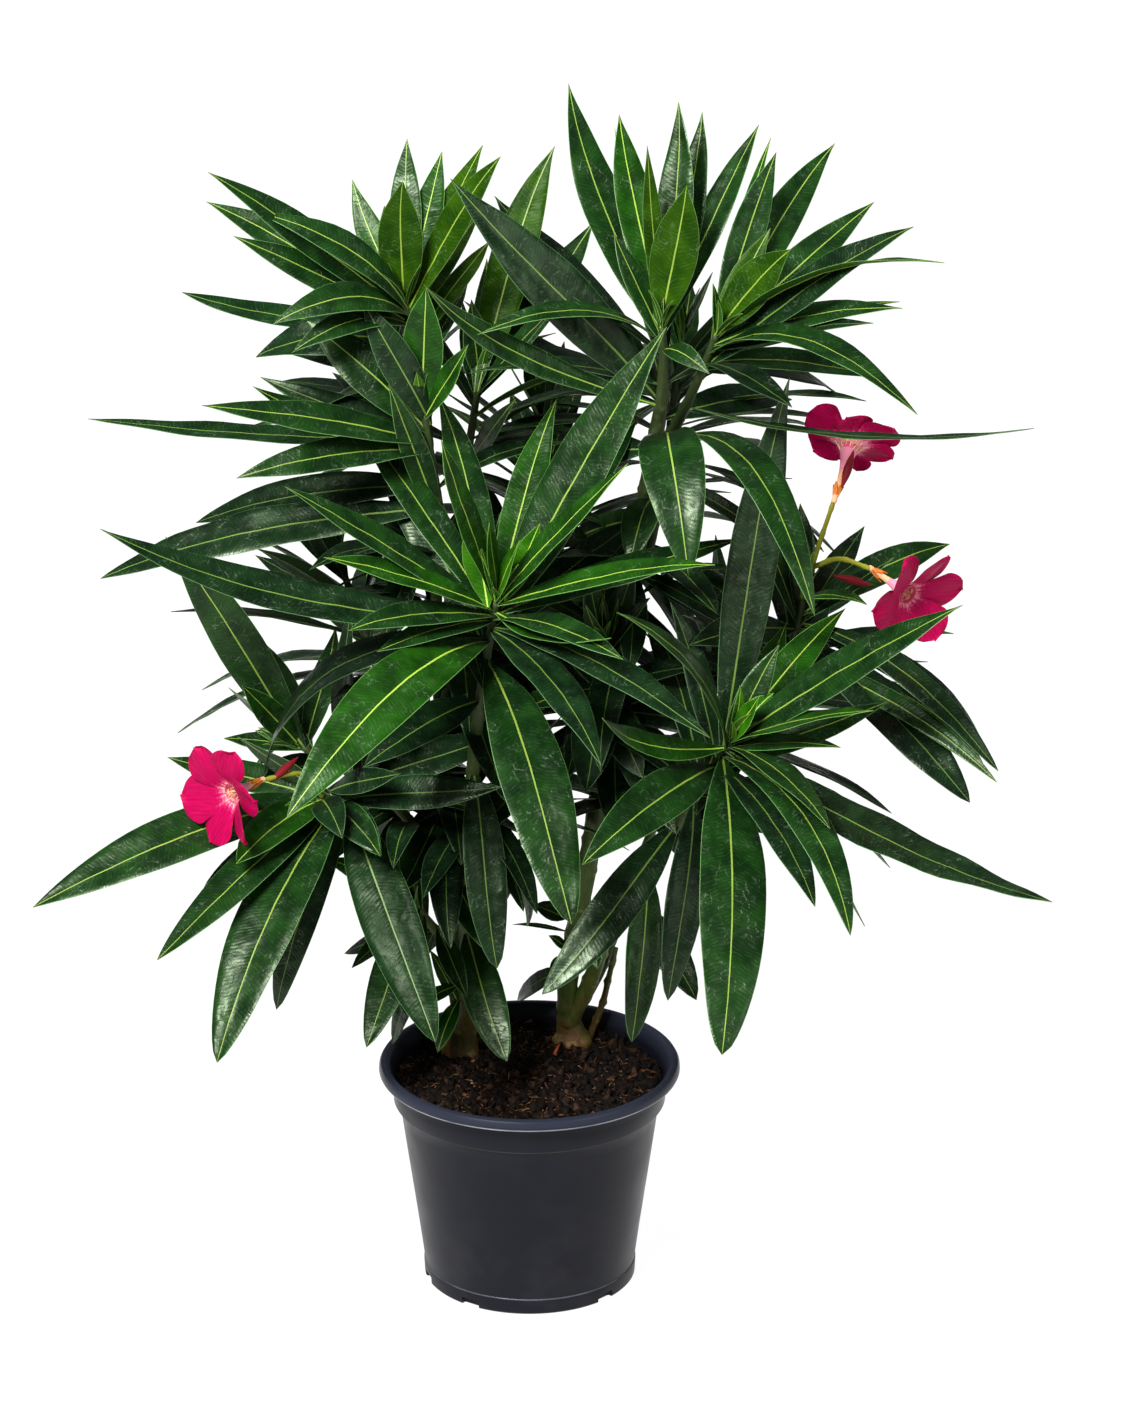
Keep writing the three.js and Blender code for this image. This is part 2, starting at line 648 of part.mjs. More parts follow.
// A petal widens from its root to a blunt end
function petal(root, axis, direction, reach) {
  const normal = axis.clone().addScaledVector(direction, -axis.dot(direction)).normalize();
  const side = direction.clone().cross(normal);
  const rings = PETAL_OUTLINE.map(([share, half]) => {
    const centre = root.clone().addScaledVector(direction, reach * share);
    const out = (half * BLOOM.petalWidth) / 2;
    const thick = BLOOM.petalThickness / 2;
    return [
      centre.clone().addScaledVector(normal, thick), centre.clone().addScaledVector(side, out),
      centre.clone().addScaledVector(normal, -thick), centre.clone().addScaledVector(side, -out),
    ];
  });
  return loft(rings);
}

// A leaf of a shoot from a row of the list above
function leafFromRow(shoot, [down, turn, rise, reach, arch = 0, width = 0, roll = 0]) {
  const { place, axis } = stemAt(shoot, down);
  const direction = heading(turn, rise);
  return {
    root: rootOf(place, axis, direction), turn, rise, reach, arch, roll, direction,
    axis: shoot.face ? heading(...shoot.face) : axis,
    width: width || LEAF_WIDTH.least + LEAF_WIDTH.share * reach,
  };
}

// A leaf's root is a point sunk past the middle of the stem, so that the blade leaves it with some width
function rootOf(place, axis, direction) {
  const outward = direction.clone().addScaledVector(axis, -axis.dot(direction)).normalize();
  return place.clone().addScaledVector(outward, -ROOT_SINK);
}

// Nowhere first, then ever wider swings each way round, as turn and rise
function swings() {
  const tries = [[0, 0]];
  for (const wide of SWINGS) {
    for (let way = 0; way < SWING_WAYS; way += 1) {
      const angle = (way / SWING_WAYS) * 2 * Math.PI;
      tries.push([wide * Math.cos(angle), wide * Math.sin(angle)]);
    }
  }
  return tries;
}

// Tries the leaf where it should be, then swung a little each way, and skips it if it never comes clear
function placeLeaf(owner, leaf, pieces, placed) {
  for (const [turn, rise] of swings()) {
    const swung = { ...leaf, direction: heading(leaf.turn + turn, leaf.rise + rise) };
    if (isClear(owner, blade(swung, LEAF_CLEARANCE))) {
      const solid = blade(swung);
      claim(owner, solid);
      pieces.push(solid);
      placed.push(swung);
      return;
    }
  }
}

// The angle between two turns, the short way round
function turnBetween(one, other) {
  const apart = Math.abs(one - other) % 360;
  return Math.min(apart, 360 - apart);
}

// A leaf of the fill: its place in the whorl, with the lean, turn and reach that the generator gives it
function leafOfWhorl(shoot, whorl, index, next) {
  const share = whorl / (shoot.fill.whorls - 1);
  const { place, axis } = stemAt(shoot, WHORL.start + whorl * WHORL.gap);
  const spin = WHORL.turnStep * whorl + (360 / WHORL.leaves) * index
    + mix(-WHORL.turnSpread, WHORL.turnSpread, next());
  const lean = mix(WHORL.topLean, WHORL.lowLean, share)
    + mix(-WHORL.leanSpread, WHORL.leanSpread, next());
  const reach = mix(WHORL.topReach, shoot.fill.reach, Math.min(1, share / WHORL.fullAt))
    * mix(...WHORL.reachSpread, next());
  const aside = new THREE.Vector3(0, 0, 1).cross(axis).normalize();
  const outward = aside.applyAxisAngle(axis, THREE.MathUtils.degToRad(spin));
  const bend = THREE.MathUtils.degToRad(lean);
  const direction = axis.clone().multiplyScalar(Math.cos(bend)).addScaledVector(outward, Math.sin(bend));
  return {
    root: rootOf(place, axis, direction), axis, direction, reach, roll: 0,
    turn: THREE.MathUtils.radToDeg(Math.atan2(direction.y, direction.x)),
    rise: THREE.MathUtils.radToDeg(Math.asin(direction.z)),
    arch: WHORL.arch * reach * share,
    width: LEAF_WIDTH.least + LEAF_WIDTH.share * reach,
  };
}

// Whorls of three down the stem, upright at the heart and drooping lower down, where no leaf stands yet
function fillShoot(name, shoot, pieces, placed, next) {
  const [middle, halfSector] = shoot.fill.sector;
  for (let whorl = 0; whorl < shoot.fill.whorls; whorl += 1) {
    for (let index = 0; index < WHORL.leaves; index += 1) {
      const leaf = leafOfWhorl(shoot, whorl, index, next);
      const free = placed.every((other) => (
        THREE.MathUtils.radToDeg(other.direction.angleTo(leaf.direction)) > SAME_PLACE));
      if (free && turnBetween(leaf.turn, middle) <= halfSector) {
        placeLeaf(name, leaf, pieces, placed);
      }
    }
  }
}

// Leaves meet round a heart in fine slivers. Where they don't fuse soundly, the stem is a little thicker.
function fusedShoot(shoot, pieces) {
  const masses = STEM_SWELLS.map((swell) => (
    pieces.reduce((sum, piece) => sum.add(piece), clearOfLimbs(shootStem(shoot, swell)))));
  return masses.find(simplified);
}

const plant = new THREE.Group();
const pot = potSolid();
const soil = soilSolid();
claim("pot", pot);
claim("soil", soil);
plant.add(meshOf("pot", pot, materials.pot), meshOf("soil", soil, materials.soil));

for (const [name, solid] of Object.entries(limbSolids())) {
  plant.add(meshOf(name, solid, materials.bark));
}

// The shoots' own stems
const crown = {};
for (const [name, shoot] of Object.entries(SHOOTS)) {
  crown[name] = { pieces: [], placed: [] };
  claim(name, clearOfLimbs(shootStem(shoot)));
}

for (const [name, flowers] of Object.entries(BLOSSOMS)) {
  const cluster = flowers.map(flowerSolid).reduce((sum, flower) => sum.add(flower));
  const bloom = clearOfStems(clearOfLimbs(cluster));
  claim(name, bloom);
  plant.add(meshOf(name, bloom, materials.petal));
}

// The leaves that show come first in every shoot, and the fill keeps clear of them
for (const [name, shoot] of Object.entries(SHOOTS)) {
  for (const row of shoot.leaves) {
    placeLeaf(name, leafFromRow(shoot, row), crown[name].pieces, crown[name].placed);
  }
}

const next = generator(SEED);
for (const [name, shoot] of Object.entries(SHOOTS)) {
  fillShoot(name, shoot, crown[name].pieces, crown[name].placed, next);
  plant.add(meshOf(name, fusedShoot(shoot, crown[name].pieces), materials.leaf));
}

export default plant;
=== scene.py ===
# %% [markdown]
# # A potted oleander
# To a maker, a nursery oleander is a moulded pot filled with compost, a few stems that are green above and
# brown at the foot, and whorls of three leathery leaves up every stem. The plain solids that hold its sizes
# are loaded first and never change. Each finished piece is then made over its solid, in metres, and takes
# that solid's place.

# %% Load the solids
import math
import random

import bpy
import numpy as np
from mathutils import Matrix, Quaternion, Vector, noise
from mathutils.bvhtree import BVHTree


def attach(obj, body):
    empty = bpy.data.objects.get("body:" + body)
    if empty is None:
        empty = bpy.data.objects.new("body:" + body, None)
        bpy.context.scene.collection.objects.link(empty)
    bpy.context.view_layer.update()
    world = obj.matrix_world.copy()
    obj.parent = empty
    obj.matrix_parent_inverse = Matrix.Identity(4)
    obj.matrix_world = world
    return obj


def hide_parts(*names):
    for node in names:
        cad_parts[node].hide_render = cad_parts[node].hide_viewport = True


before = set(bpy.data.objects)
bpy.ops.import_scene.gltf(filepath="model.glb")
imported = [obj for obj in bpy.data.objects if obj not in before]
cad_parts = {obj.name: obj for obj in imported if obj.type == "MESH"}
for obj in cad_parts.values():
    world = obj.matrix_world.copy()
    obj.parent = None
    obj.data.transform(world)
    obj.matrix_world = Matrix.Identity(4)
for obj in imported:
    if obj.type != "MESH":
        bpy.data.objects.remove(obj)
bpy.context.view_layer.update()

MM = 0.001
UP = Vector((0, 0, 1))

# %% [markdown]
# ## Camera, floor and light
# The photograph looks down on the pot from a few metres away through a long lens, so upright lines hardly
# converge. A camera could be placed by eye, but the pot's rim and foot are two circles of known size, and
# their outlines give its tilt and distance. The floor and the paper round it are plain and pale, and the
# light comes from large soft sources, so the leaves show broad, mild highlights.

# %% Camera
CAMERA_PLACE = (0.0199, -3.5, 1.7265)
CAMERA_DOWN = 20.93
LENS_MM = 155.95

bpy.ops.object.select_all(action="DESELECT")
bpy.ops.object.camera_add(location=CAMERA_PLACE, rotation=(math.radians(90 - CAMERA_DOWN), 0, 0))
camera = bpy.context.object
camera.data.lens = LENS_MM
bpy.context.scene.camera = camera
print("camera, in metres from the foot of the pot:", round(camera.location.length, 3))

# %% Colours and nodes
def linear(code):
    """An sRGB hex colour as the linear numbers that a shader works in."""
    channels = [int(code[i:i + 2], 16) / 255 for i in (1, 3, 5)]
    return [c / 12.92 if c <= 0.04045 else ((c + 0.055) / 1.055) ** 2.4 for c in channels] + [1]


def feed(made, inputs):
    """Each input of a node gets a value, an output, or a node, whose first live output is then linked."""
    for name, value in inputs.items():
        if isinstance(value, bpy.types.Node):
            value = next(socket for socket in value.outputs if socket.enabled)
        if isinstance(value, bpy.types.NodeSocket):
            made.id_data.links.new(value, made.inputs[name])
        else:
            made.inputs[name].default_value = value


def add(tree, kind, inputs=None, **settings):
    """Adds a shader node with its settings and links."""
    made = tree.nodes.new("ShaderNode" + kind)
    for name, value in settings.items():
        setattr(made, name, value)
    feed(made, inputs or {})
    return made


def new_material(name, base, roughness, ior=1.45):
    """A material with its base colour, and its tree and shader to build on."""
    material = bpy.data.materials.new(name)
    material.use_nodes = True
    shader = material.node_tree.nodes["Principled BSDF"]
    feed(shader, {"Base Color": linear(base), "Roughness": roughness, "IOR": ior})
    return material, material.node_tree, shader


def finish_skin(shader, tint, height, strength, depth):
    """Gives the shader its colour, and a relief from the pattern of heights, with its depth in metres."""
    relief = add(shader.id_data, "Bump", {"Strength": strength, "Distance": depth, "Height": height})
    feed(shader, {"Base Color": tint, "Normal": relief})


# %% Floor, backdrop and light
FLOOR = dict(side=16, drop=0.2 * MM, glow=0.96, grain=60.0)
BACKDROP = dict(radius=7.9, height=6.0, sides=96, glow=1.0)
LIGHTS = {
    "key_softbox": dict(place=(-1.3, -2.3, 2.9), size=1.1, watts=280),
    "fill_softbox": dict(place=(2.3, -1.8, 1.7), size=1.4, watts=20),
    "top_softbox": dict(place=(0.4, 0.5, 3.2), size=1.2, watts=60, glossy=False),
    "back_softbox": dict(place=(-0.8, 2.6, 2.0), size=1.4, watts=60, glossy=False),
}
LIGHT_AIM = Vector((0, 0, 0.4))
SKY_STRENGTH = 0.095


def white_paint(name, base, glow):
    """A matt surface that glows a little, so that it stays evenly white."""
    material, tree, shader = new_material(name, base, 0.9)
    feed(shader, {"Emission Color": linear("#ffffff"), "Emission Strength": glow})
    return material, tree, shader


def set_stage(name, material):
    """Names the object that was just added and gives it its material."""
    piece = bpy.context.object
    piece.name = name
    piece.data.materials.append(material)
    return piece


board, tree, shader = white_paint("white light board", "#484848", FLOOR["glow"])
grain = add(tree, "TexNoise", {"Scale": FLOOR["grain"], "Detail": 2.0})
feed(shader, {"Normal": add(tree, "Bump", {"Strength": 0.05, "Height": grain})})
bpy.ops.mesh.primitive_plane_add(size=FLOOR["side"], location=(0, 0, -FLOOR["drop"]))
set_stage("floor", board)

paper, tree, shader = white_paint("white backdrop paper", "#000000", BACKDROP["glow"])
bpy.ops.mesh.primitive_cylinder_add(vertices=BACKDROP["sides"], radius=BACKDROP["radius"],
    depth=BACKDROP["height"], end_fill_type="NOTHING", location=(0, 0, BACKDROP["height"] / 2))
backdrop = set_stage("backdrop", paper)
# The camera sees it from every side, but it sends no light on the plant
for rays in ("diffuse", "glossy", "transmission", "shadow"):
    setattr(backdrop, "visible_" + rays, False)

for name, light in LIGHTS.items():
    place = Vector(light["place"])
    aim = (LIGHT_AIM - place).to_track_quat("-Z", "Y").to_euler()
    bpy.ops.object.light_add(type="AREA", location=place, rotation=aim)
    lamp = bpy.context.object
    lamp.name = name
    lamp.data.size = light["size"]
    lamp.data.energy = light["watts"]
    lamp.visible_glossy = light.get("glossy", True)

world = bpy.data.worlds.new("pale studio")
bpy.context.scene.world = world
world.use_nodes = True
feed(world.node_tree.nodes["Background"], {"Color": linear("#ffffff"), "Strength": SKY_STRENGTH})
bpy.context.scene.view_settings.view_transform = "Standard"
print("lights:", len(LIGHTS), "watts in all:", sum(light["watts"] for light in LIGHTS.values()))

# %% [markdown]
# ## The pot
# It is an injection moulded nursery pot of black polypropylene: a rolled lip, a shoulder band below it, a
# tapering wall, and a foot band with six drainage notches. It could be a curve turned by a Screw modifier.
# Here it is drawn as a potter would: a disc is extruded ring by ring up the outside, over the lip and down
# the inside, and each ring is scaled to its radius.

# %% Pot shape
POT_SIDES = 128
# Radius and height of every ring, in millimetres
POT_OUTLINE = [
    (66.2, 0), (67.1, 0.9), (67.5, 9.4), (67.3, 10.1), (66.9, 10.5),
    (70.2, 35), (73.7, 60), (77.3, 85), (80.8, 110), (82.5, 118.6), (83.2, 119.6),
    (85.4, 120.4), (85.9, 121.2), (86.2, 130), (86.5, 137.6), (87, 138.4),
    (92.6, 138.6), (94.3, 139.2), (95, 140.6), (94.8, 143.6), (93.8, 145.3), (92, 146), (90, 145.8),
    (88.4, 144.8), (87.5, 143), (86, 139), (84.3, 136), (83.8, 122), (80.6, 116), (64.2, 3),
]


def pick(*pieces):
    """Selects these pieces and nothing else. The first is the active one."""
    bpy.ops.object.select_all(action="DESELECT")
    for piece in pieces:
        piece.select_set(True)
    if pieces:
        bpy.context.view_layer.objects.active = pieces[0]


def extrude_rings(outline):
    """Draws up a disc that is selected in edit mode, through the radius and height of every ring."""
    for (last_radius, last_height), (radius, height) in zip(outline, outline[1:]):
        rise, share = (height - last_height) * MM, radius / last_radius
        bpy.ops.mesh.extrude_region_move(TRANSFORM_OT_translate={"value": (0, 0, rise)})
        bpy.ops.transform.resize(value=(share, share, 1), center_override=(0, 0, 0))


def face_outward(piece):
    pick(piece)
    bpy.ops.object.mode_set(mode="EDIT")
    bpy.ops.mesh.select_all(action="SELECT")
    bpy.ops.mesh.normals_make_consistent(inside=False)
    bpy.ops.object.mode_set(mode="OBJECT")


def smooth_soft_edges(piece, angle):
    pick(piece)
    bpy.ops.object.shade_smooth_by_angle(angle=math.radians(angle))


def finish_mesh(piece, name, material, angle, node):
    """Turns the faces outward, smooths the soft edges, and puts the piece in its solid's place."""
    face_outward(piece)
    bpy.ops.object.transform_apply(location=True, rotation=True, scale=True)
    smooth_soft_edges(piece, angle)
    piece.name = name
    piece.data.materials.clear()
    piece.data.materials.append(material)
    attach(piece, "root")
    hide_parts(node)
    print(name, "faces:", len(piece.data.polygons))


def apply_modifier(piece, kind, **settings):
    modifier = piece.modifiers.new(kind.lower(), kind)
    for key, value in settings.items():
        setattr(modifier, key, value)
    pick(piece)
    bpy.ops.object.modifier_apply(modifier=modifier.name)


pick()
bpy.ops.mesh.primitive_circle_add(vertices=POT_SIDES, radius=POT_OUTLINE[0][0] * MM, fill_type="NGON")
pot = bpy.context.object
bpy.ops.object.mode_set(mode="EDIT")
extrude_rings(POT_OUTLINE)
bpy.ops.object.mode_set(mode="OBJECT")
face_outward(pot)

# %% Drainage notches
NOTCH_TURNS = (-124, -44, 16, 76, 136, 196)
NOTCH_SIZE = (8, 13, 10)
NOTCH_ROUND = 1.2


def notch_cutter(turn):
    """A rounded block across the foot band, at that turn."""
    middle = POT_OUTLINE[1][0] * MM
    angle = math.radians(turn)
    place = (middle * math.cos(angle), middle * math.sin(angle), 0)
    bpy.ops.mesh.primitive_cube_add(size=1, location=place, rotation=(0, 0, angle))
    block = bpy.context.object
    block.scale = [side * MM for side in NOTCH_SIZE]
    bpy.ops.object.transform_apply(location=True, rotation=True, scale=True)
    apply_modifier(block, "BEVEL", width=NOTCH_ROUND * MM, segments=3)
    return block


pick()
cutters = [notch_cutter(turn) for turn in NOTCH_TURNS]
pick(*cutters)
bpy.ops.object.join()
apply_modifier(pot, "BOOLEAN", operation="DIFFERENCE", solver="EXACT", object=cutters[0])
bpy.data.objects.remove(cutters[0])
print("notches:", len(cutters), "pot faces with them:", len(pot.data.polygons))

# %% [markdown]
# ## Polypropylene
# The plastic is near black with a touch of blue. The steel mould was ground, not polished, so the wall is
# satin, and the thin horizontal lines that turning left in the mould show as faint streaks. Handling leaves
# rubbed patches with a little more gloss and a haze of dried dust near the foot. The lip is painted lighter
# as a painted sheen, and thin pale lines on the moulded edges are painted highlights.

# %% Pot material
STREAK_MM = 1.6
RUB_MM = 28
DUST_TOP = 0.09
LIP_FROM, LIP_TO = 0.137, 0.143
# Painted highlights: thin pale lines on the moulded edges, where a glossy edge would catch the light: from
# height, to height, outside which radius, and how strongly
PAINTED_HIGHLIGHT_LINES = ((10.0, 10.4, 60, 0.16), (119.2, 119.9, 80, 0.3), (139.2, 140.0, 90, 0.75))
EDGE_FADE = 0.4


def per_metre(size_mm):
    """The scale of a pattern whose features are that large."""
    return 1 / (size_mm * MM)


polypropylene, tree, shader = new_material("moulded black polypropylene", "#131420", 0.42, 1.26)
where = add(tree, "TexCoord").outputs["Object"]
height = add(tree, "SeparateXYZ", {"Vector": where}).outputs["Z"]
flat = add(tree, "Mapping", {"Vector": where, "Scale": (0.04, 0.04, 1.0)})
streaks = add(tree, "TexNoise", {"Vector": flat, "Scale": per_metre(STREAK_MM), "Detail": 3.0})
rubs = add(tree, "TexNoise", {"Vector": where, "Scale": per_metre(RUB_MM), "Detail": 4.0})
dust = add(tree, "MapRange", {"Value": rubs, "From Min": 0.48, "From Max": 0.78})
low = add(tree, "MapRange", {"Value": height, "From Min": 0.0, "From Max": DUST_TOP, "To Min": 0.5,
    "To Max": 0.12})
haze = add(tree, "Math", {0: dust, 1: low}, operation="MULTIPLY")
tint = add(tree, "Mix", {0: haze, 6: linear("#101119"), 7: linear("#2c2c30")}, data_type="RGBA")
# Painted sheen: the lip is tinted lighter towards its top, standing in for the light on the glossy rolled lip
painted_lip_sheen = add(tree, "MapRange", {"Value": height, "From Min": LIP_FROM, "From Max": LIP_TO, "To Max": 0.65})
tint = add(tree, "Mix", {0: painted_lip_sheen, 6: tint, 7: linear("#2c303e")}, data_type="RGBA")
level = add(tree, "Mapping", {"Vector": where, "Scale": (1.0, 1.0, 0.0)})
radius = add(tree, "VectorMath", {0: level}, operation="LENGTH")
patchy = add(tree, "MapRange", {"Value": rubs, "From Min": 0.35, "From Max": 0.6, "To Min": 0.35})
for low_mm, high_mm, radius_mm, strength in PAINTED_HIGHLIGHT_LINES:
    edge = add(tree, "MapRange", {"Value": height, "From Min": (low_mm - EDGE_FADE) * MM,
        "From Max": low_mm * MM, "To Max": strength})
    above = add(tree, "MapRange", {"Value": height, "From Min": high_mm * MM,
        "From Max": (high_mm + EDGE_FADE) * MM, "To Min": 1.0, "To Max": 0.0})
    outer = add(tree, "Math", {0: radius, 1: radius_mm * MM}, operation="GREATER_THAN")
    for limit in (above, patchy, outer):
        edge = add(tree, "Math", {0: edge, 1: limit}, operation="MULTIPLY")
    # Painted highlight: each edge line is tinted pale, broken into patches
    tint = add(tree, "Mix", {0: edge, 6: tint, 7: linear("#a2a8b2")}, data_type="RGBA")
gloss = add(tree, "MapRange", {"Value": rubs, "From Min": 0.3, "From Max": 0.7, "To Min": 0.3,
    "To Max": 0.42})
feed(shader, {"Roughness": gloss})
finish_skin(shader, tint, streaks, 0.12, 0.4 * MM)
finish_mesh(pot, "pot_shell", polypropylene, 35, "pot")

# %% [markdown]
# ## The compost
# Compost is crumbs of peat and bark with fibres and a few pale flakes. One bumpy sheet alone looks like
# tar, so the bed is a disc of inset rings that cloud patterns lift, and the crumbs, fibres and flakes that
# lie on it are real small shapes, each kind joined to one piece.

# %% Compost bed
COMPOST_TOP = 133.2
COMPOST_EDGE = 83.6
COMPOST_RINGS = 40
MIDDLE_OPEN = 0.6
BED_SIDES = 160
BED_OUTLINE = [(62, 4), (76, 100), (80.4, 117), (COMPOST_EDGE, 126), (COMPOST_EDGE, COMPOST_TOP)]
# The size of each cloud pattern in metres, and how far it lifts the bed in millimetres
HEAPS = {"heaps": (0.026, 6.0), "lumps": (0.010, 8.5), "grit": (0.0035, 3.2)}

pick()
bed_radius, bed_floor = BED_OUTLINE[0]
bpy.ops.mesh.primitive_circle_add(vertices=BED_SIDES, radius=bed_radius * MM, fill_type="NGON",
    location=(0, 0, bed_floor * MM))
bed = bpy.context.object
bpy.ops.object.transform_apply(location=True)
bpy.ops.object.mode_set(mode="EDIT")
extrude_rings(BED_OUTLINE)
for ring in range(COMPOST_RINGS):
    bpy.ops.mesh.inset(thickness=COMPOST_EDGE * MM / (COMPOST_RINGS + MIDDLE_OPEN))
bpy.ops.object.mode_set(mode="OBJECT")
on_top = bed.vertex_groups.new(name="top")
on_top.add([v.index for v in bed.data.vertices if v.co.z > (COMPOST_TOP - 1) * MM], 1.0, "REPLACE")
for name, (size, depth) in HEAPS.items():
    pattern = bpy.data.textures.new(name, "CLOUDS")
    pattern.noise_scale = size
    apply_modifier(bed, "DISPLACE", texture=pattern, texture_coords="LOCAL", direction="Z",
        strength=depth * MM, mid_level=0.55, vertex_group="top")
print("top of the compost in mm:", round(max(v.co.z for v in bed.data.vertices) / MM, 1))

# %% [markdown]
# ## Moist compost
# Wet peat is almost black, because water fills its pores, and its crumbs keep a broken skin that catches
# small glints. The brown varies from crumb to crumb, so one noise mixes two browns.

# %% Compost material
COMPOST_PATCH_MM = 4


def compost_material(name, dark, light, roughness):
    """Broken, moist matter: two browns mixed by noise, with a rough skin."""
    material, tree, shader = new_material(name, dark, roughness, 1.22)
    where = add(tree, "TexCoord").outputs["Object"]
    patch = add(tree, "TexNoise", {"Vector": where, "Scale": per_metre(COMPOST_PATCH_MM), "Detail": 5.0,
        "Roughness": 0.7})
    share = add(tree, "MapRange", {"Value": patch, "From Min": 0.42, "From Max": 0.72})
    tint = add(tree, "Mix", {0: share, 6: linear(dark), 7: linear(light)}, data_type="RGBA")
    finish_skin(shader, tint, patch, 0.7, 0.6 * MM)
    return material


peat = compost_material("moist peat compost", "#050302", "#1d120b", 0.8)
finish_mesh(bed, "compost_bed", peat, 60, "soil")

# %% Many small things as one mesh
class Heap:
    """Corners and faces of many small things that become one piece."""

    def __init__(self):
        self.corners = []
        self.faces = []
        self.kinds = []
        self.spots = []

    def put(self, corners, faces, kind=0, spots=None):
        """Adds one thing. Kind is its material's number, or one for each face. Spots go to the UV map."""
        start = len(self.corners)
        self.corners.extend(corners)
        self.faces.extend([[start + i for i in face] for face in faces])
        self.kinds.extend([kind] * len(faces) if isinstance(kind, int) else kind)
        self.spots.extend(spots if spots is not None else [(0.0, 0.0)] * len(corners))

    def piece(self, name, materials, slot, replaced=()):
        """Makes the mesh in metres from corners in millimetres."""
        mesh = bpy.data.meshes.new(name)
        mesh.from_pydata((np.array([tuple(c) for c in self.corners]) * MM).tolist(), [], self.faces)
        mesh.polygons.foreach_set("material_index", self.kinds)
        mesh.polygons.foreach_set("use_smooth", [True] * len(self.faces))
        spots = np.array(self.spots, dtype=np.float32)
        order = np.zeros(len(mesh.loops), dtype=np.int32)
        mesh.loops.foreach_get("vertex_index", order)
        mesh.uv_layers.new(name="surface").data.foreach_set("uv", spots[order].ravel())
        for material in materials:
            mesh.materials.append(material)
        mesh.validate()
        made = bpy.data.objects.new(name, mesh)
        bpy.context.scene.collection.objects.link(made)
        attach(made, "root")
        if replaced:
            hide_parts(*replaced)
        print(name, "triangles:", sum(len(face) - 2 for face in self.faces))
        return made


def ways_along(points):
    """The way that a line goes at each of its points."""
    ends = [points[0], *points, points[-1]]
    return [(after - before).normalized() for before, after in zip(ends, ends[2:])]


def ring_points(centre, across, upward, radius, sides):
    """Points evenly round a centre."""
    turns = [2 * math.pi * side / sides for side in range(sides)]
    return [centre + (across * math.cos(turn) + upward * math.sin(turn)) * radius for turn in turns]


def wall_faces(rings, sides):
    """The four-cornered faces between rings of points that follow each other."""
    faces = []
    for ring in range(rings - 1):
        for side in range(sides):
            a, b = ring * sides + side, ring * sides + (side + 1) % sides
            faces.append((a, b, b + sides, a + sides))
    return faces


def tube_faces(rings, sides):
    """The wall of a tube and its two ends."""
    last = (rings - 1) * sides
    return wall_faces(rings, sides) + [tuple(range(sides))[::-1], tuple(range(last, last + sides))]


# %% Crumbs, fibres and flakes
CRUMB = dict(count=3000, sizes=(0.8, 1.0, 1.3, 1.8, 2.6, 3.4, 4.8), lift=0.25)
STRETCH = ((0.7, 1.5), (0.6, 1.1), (0.4, 0.8))
FIBRE = dict(count=620, length=(4, 15), bow=(-0.8, 0.8), steps=(-1, -0.6, -0.2, 0.2, 0.6, 1),
    lift=(0.4, 1.3), thick=(0.14, 0.36), end=0.05)
FLAKE = dict(count=230, size=(0.6, 1.5), lift=0.8, flat=0.35)
BED_REACH = 82
ABOVE_BED = 170
TRUNK_FEET = ((-44, 38, 13), (28, 54, 14))
ROOT_LUMP = dict(place=(-36, 16), lift=2, size=5.5)
SHEATH = dict(places=([19, 34, 141], [16, 31, 136], [17, 29, 132], [14, 27, 126]), radii=(0.5, 1.3, 1.5, 0.3))
# A way that no strand or tube runs along, to measure their across from
ASIDE = Vector((0.31, 0.17, 0.93))
ground = BVHTree.FromPolygons([v.co / MM for v in bed.data.vertices], [p.vertices for p in bed.data.polygons])
chance = random.Random(11)


def on_ground(x, y, lift=0.0):
    """The place on the compost bed below a point, in millimetres, or a little above it."""
    return Vector((x, y, ground.ray_cast(Vector((x, y, ABOVE_BED)), -UP)[0].z + lift))


def bed_place():
    """A random place on the bed that isn't inside a trunk."""
    while True:
        radius = BED_REACH * math.sqrt(chance.random())
        angle = chance.uniform(0, 2 * math.pi)
        x, y = radius * math.cos(angle), radius * math.sin(angle)
        if all(math.hypot(x - foot[0], y - foot[1]) > foot[2] for foot in TRUNK_FEET):
            return on_ground(x, y)


def crumb(place, size):
    """A broken lump: an octahedron with uneven corners, turned at random."""
    turn = Quaternion([chance.gauss(0, 1) for part in range(4)])
    turn.normalize()
    ends = [(1, 0, 0), (0, 1, 0), (-1, 0, 0), (0, -1, 0), (0, 0, 1), (0, 0, -1)]
    stretch = [chance.uniform(*ends_of) for ends_of in STRETCH]
    corners = []
    for end in ends:
        uneven = chance.uniform(0.7, 1.2) * size
        corners.append(place + turn @ Vector([e * s * uneven for e, s in zip(end, stretch)]))
    faces = [(i, (i + 1) % 4, 4) for i in range(4)] + [((i + 1) % 4, i, 5) for i in range(4)]
    return corners, faces


def strand(points, radii, sides=4):
    """A thin closed tube through points, pointed at both ends where the radius there is nothing."""
    corners = []
    for point, along, radius in zip(points, ways_along(points), radii):
        across = along.cross(ASIDE).normalized()
        corners += ring_points(point, across, along.cross(across), radius, sides)
    return corners, tube_faces(len(points), sides)


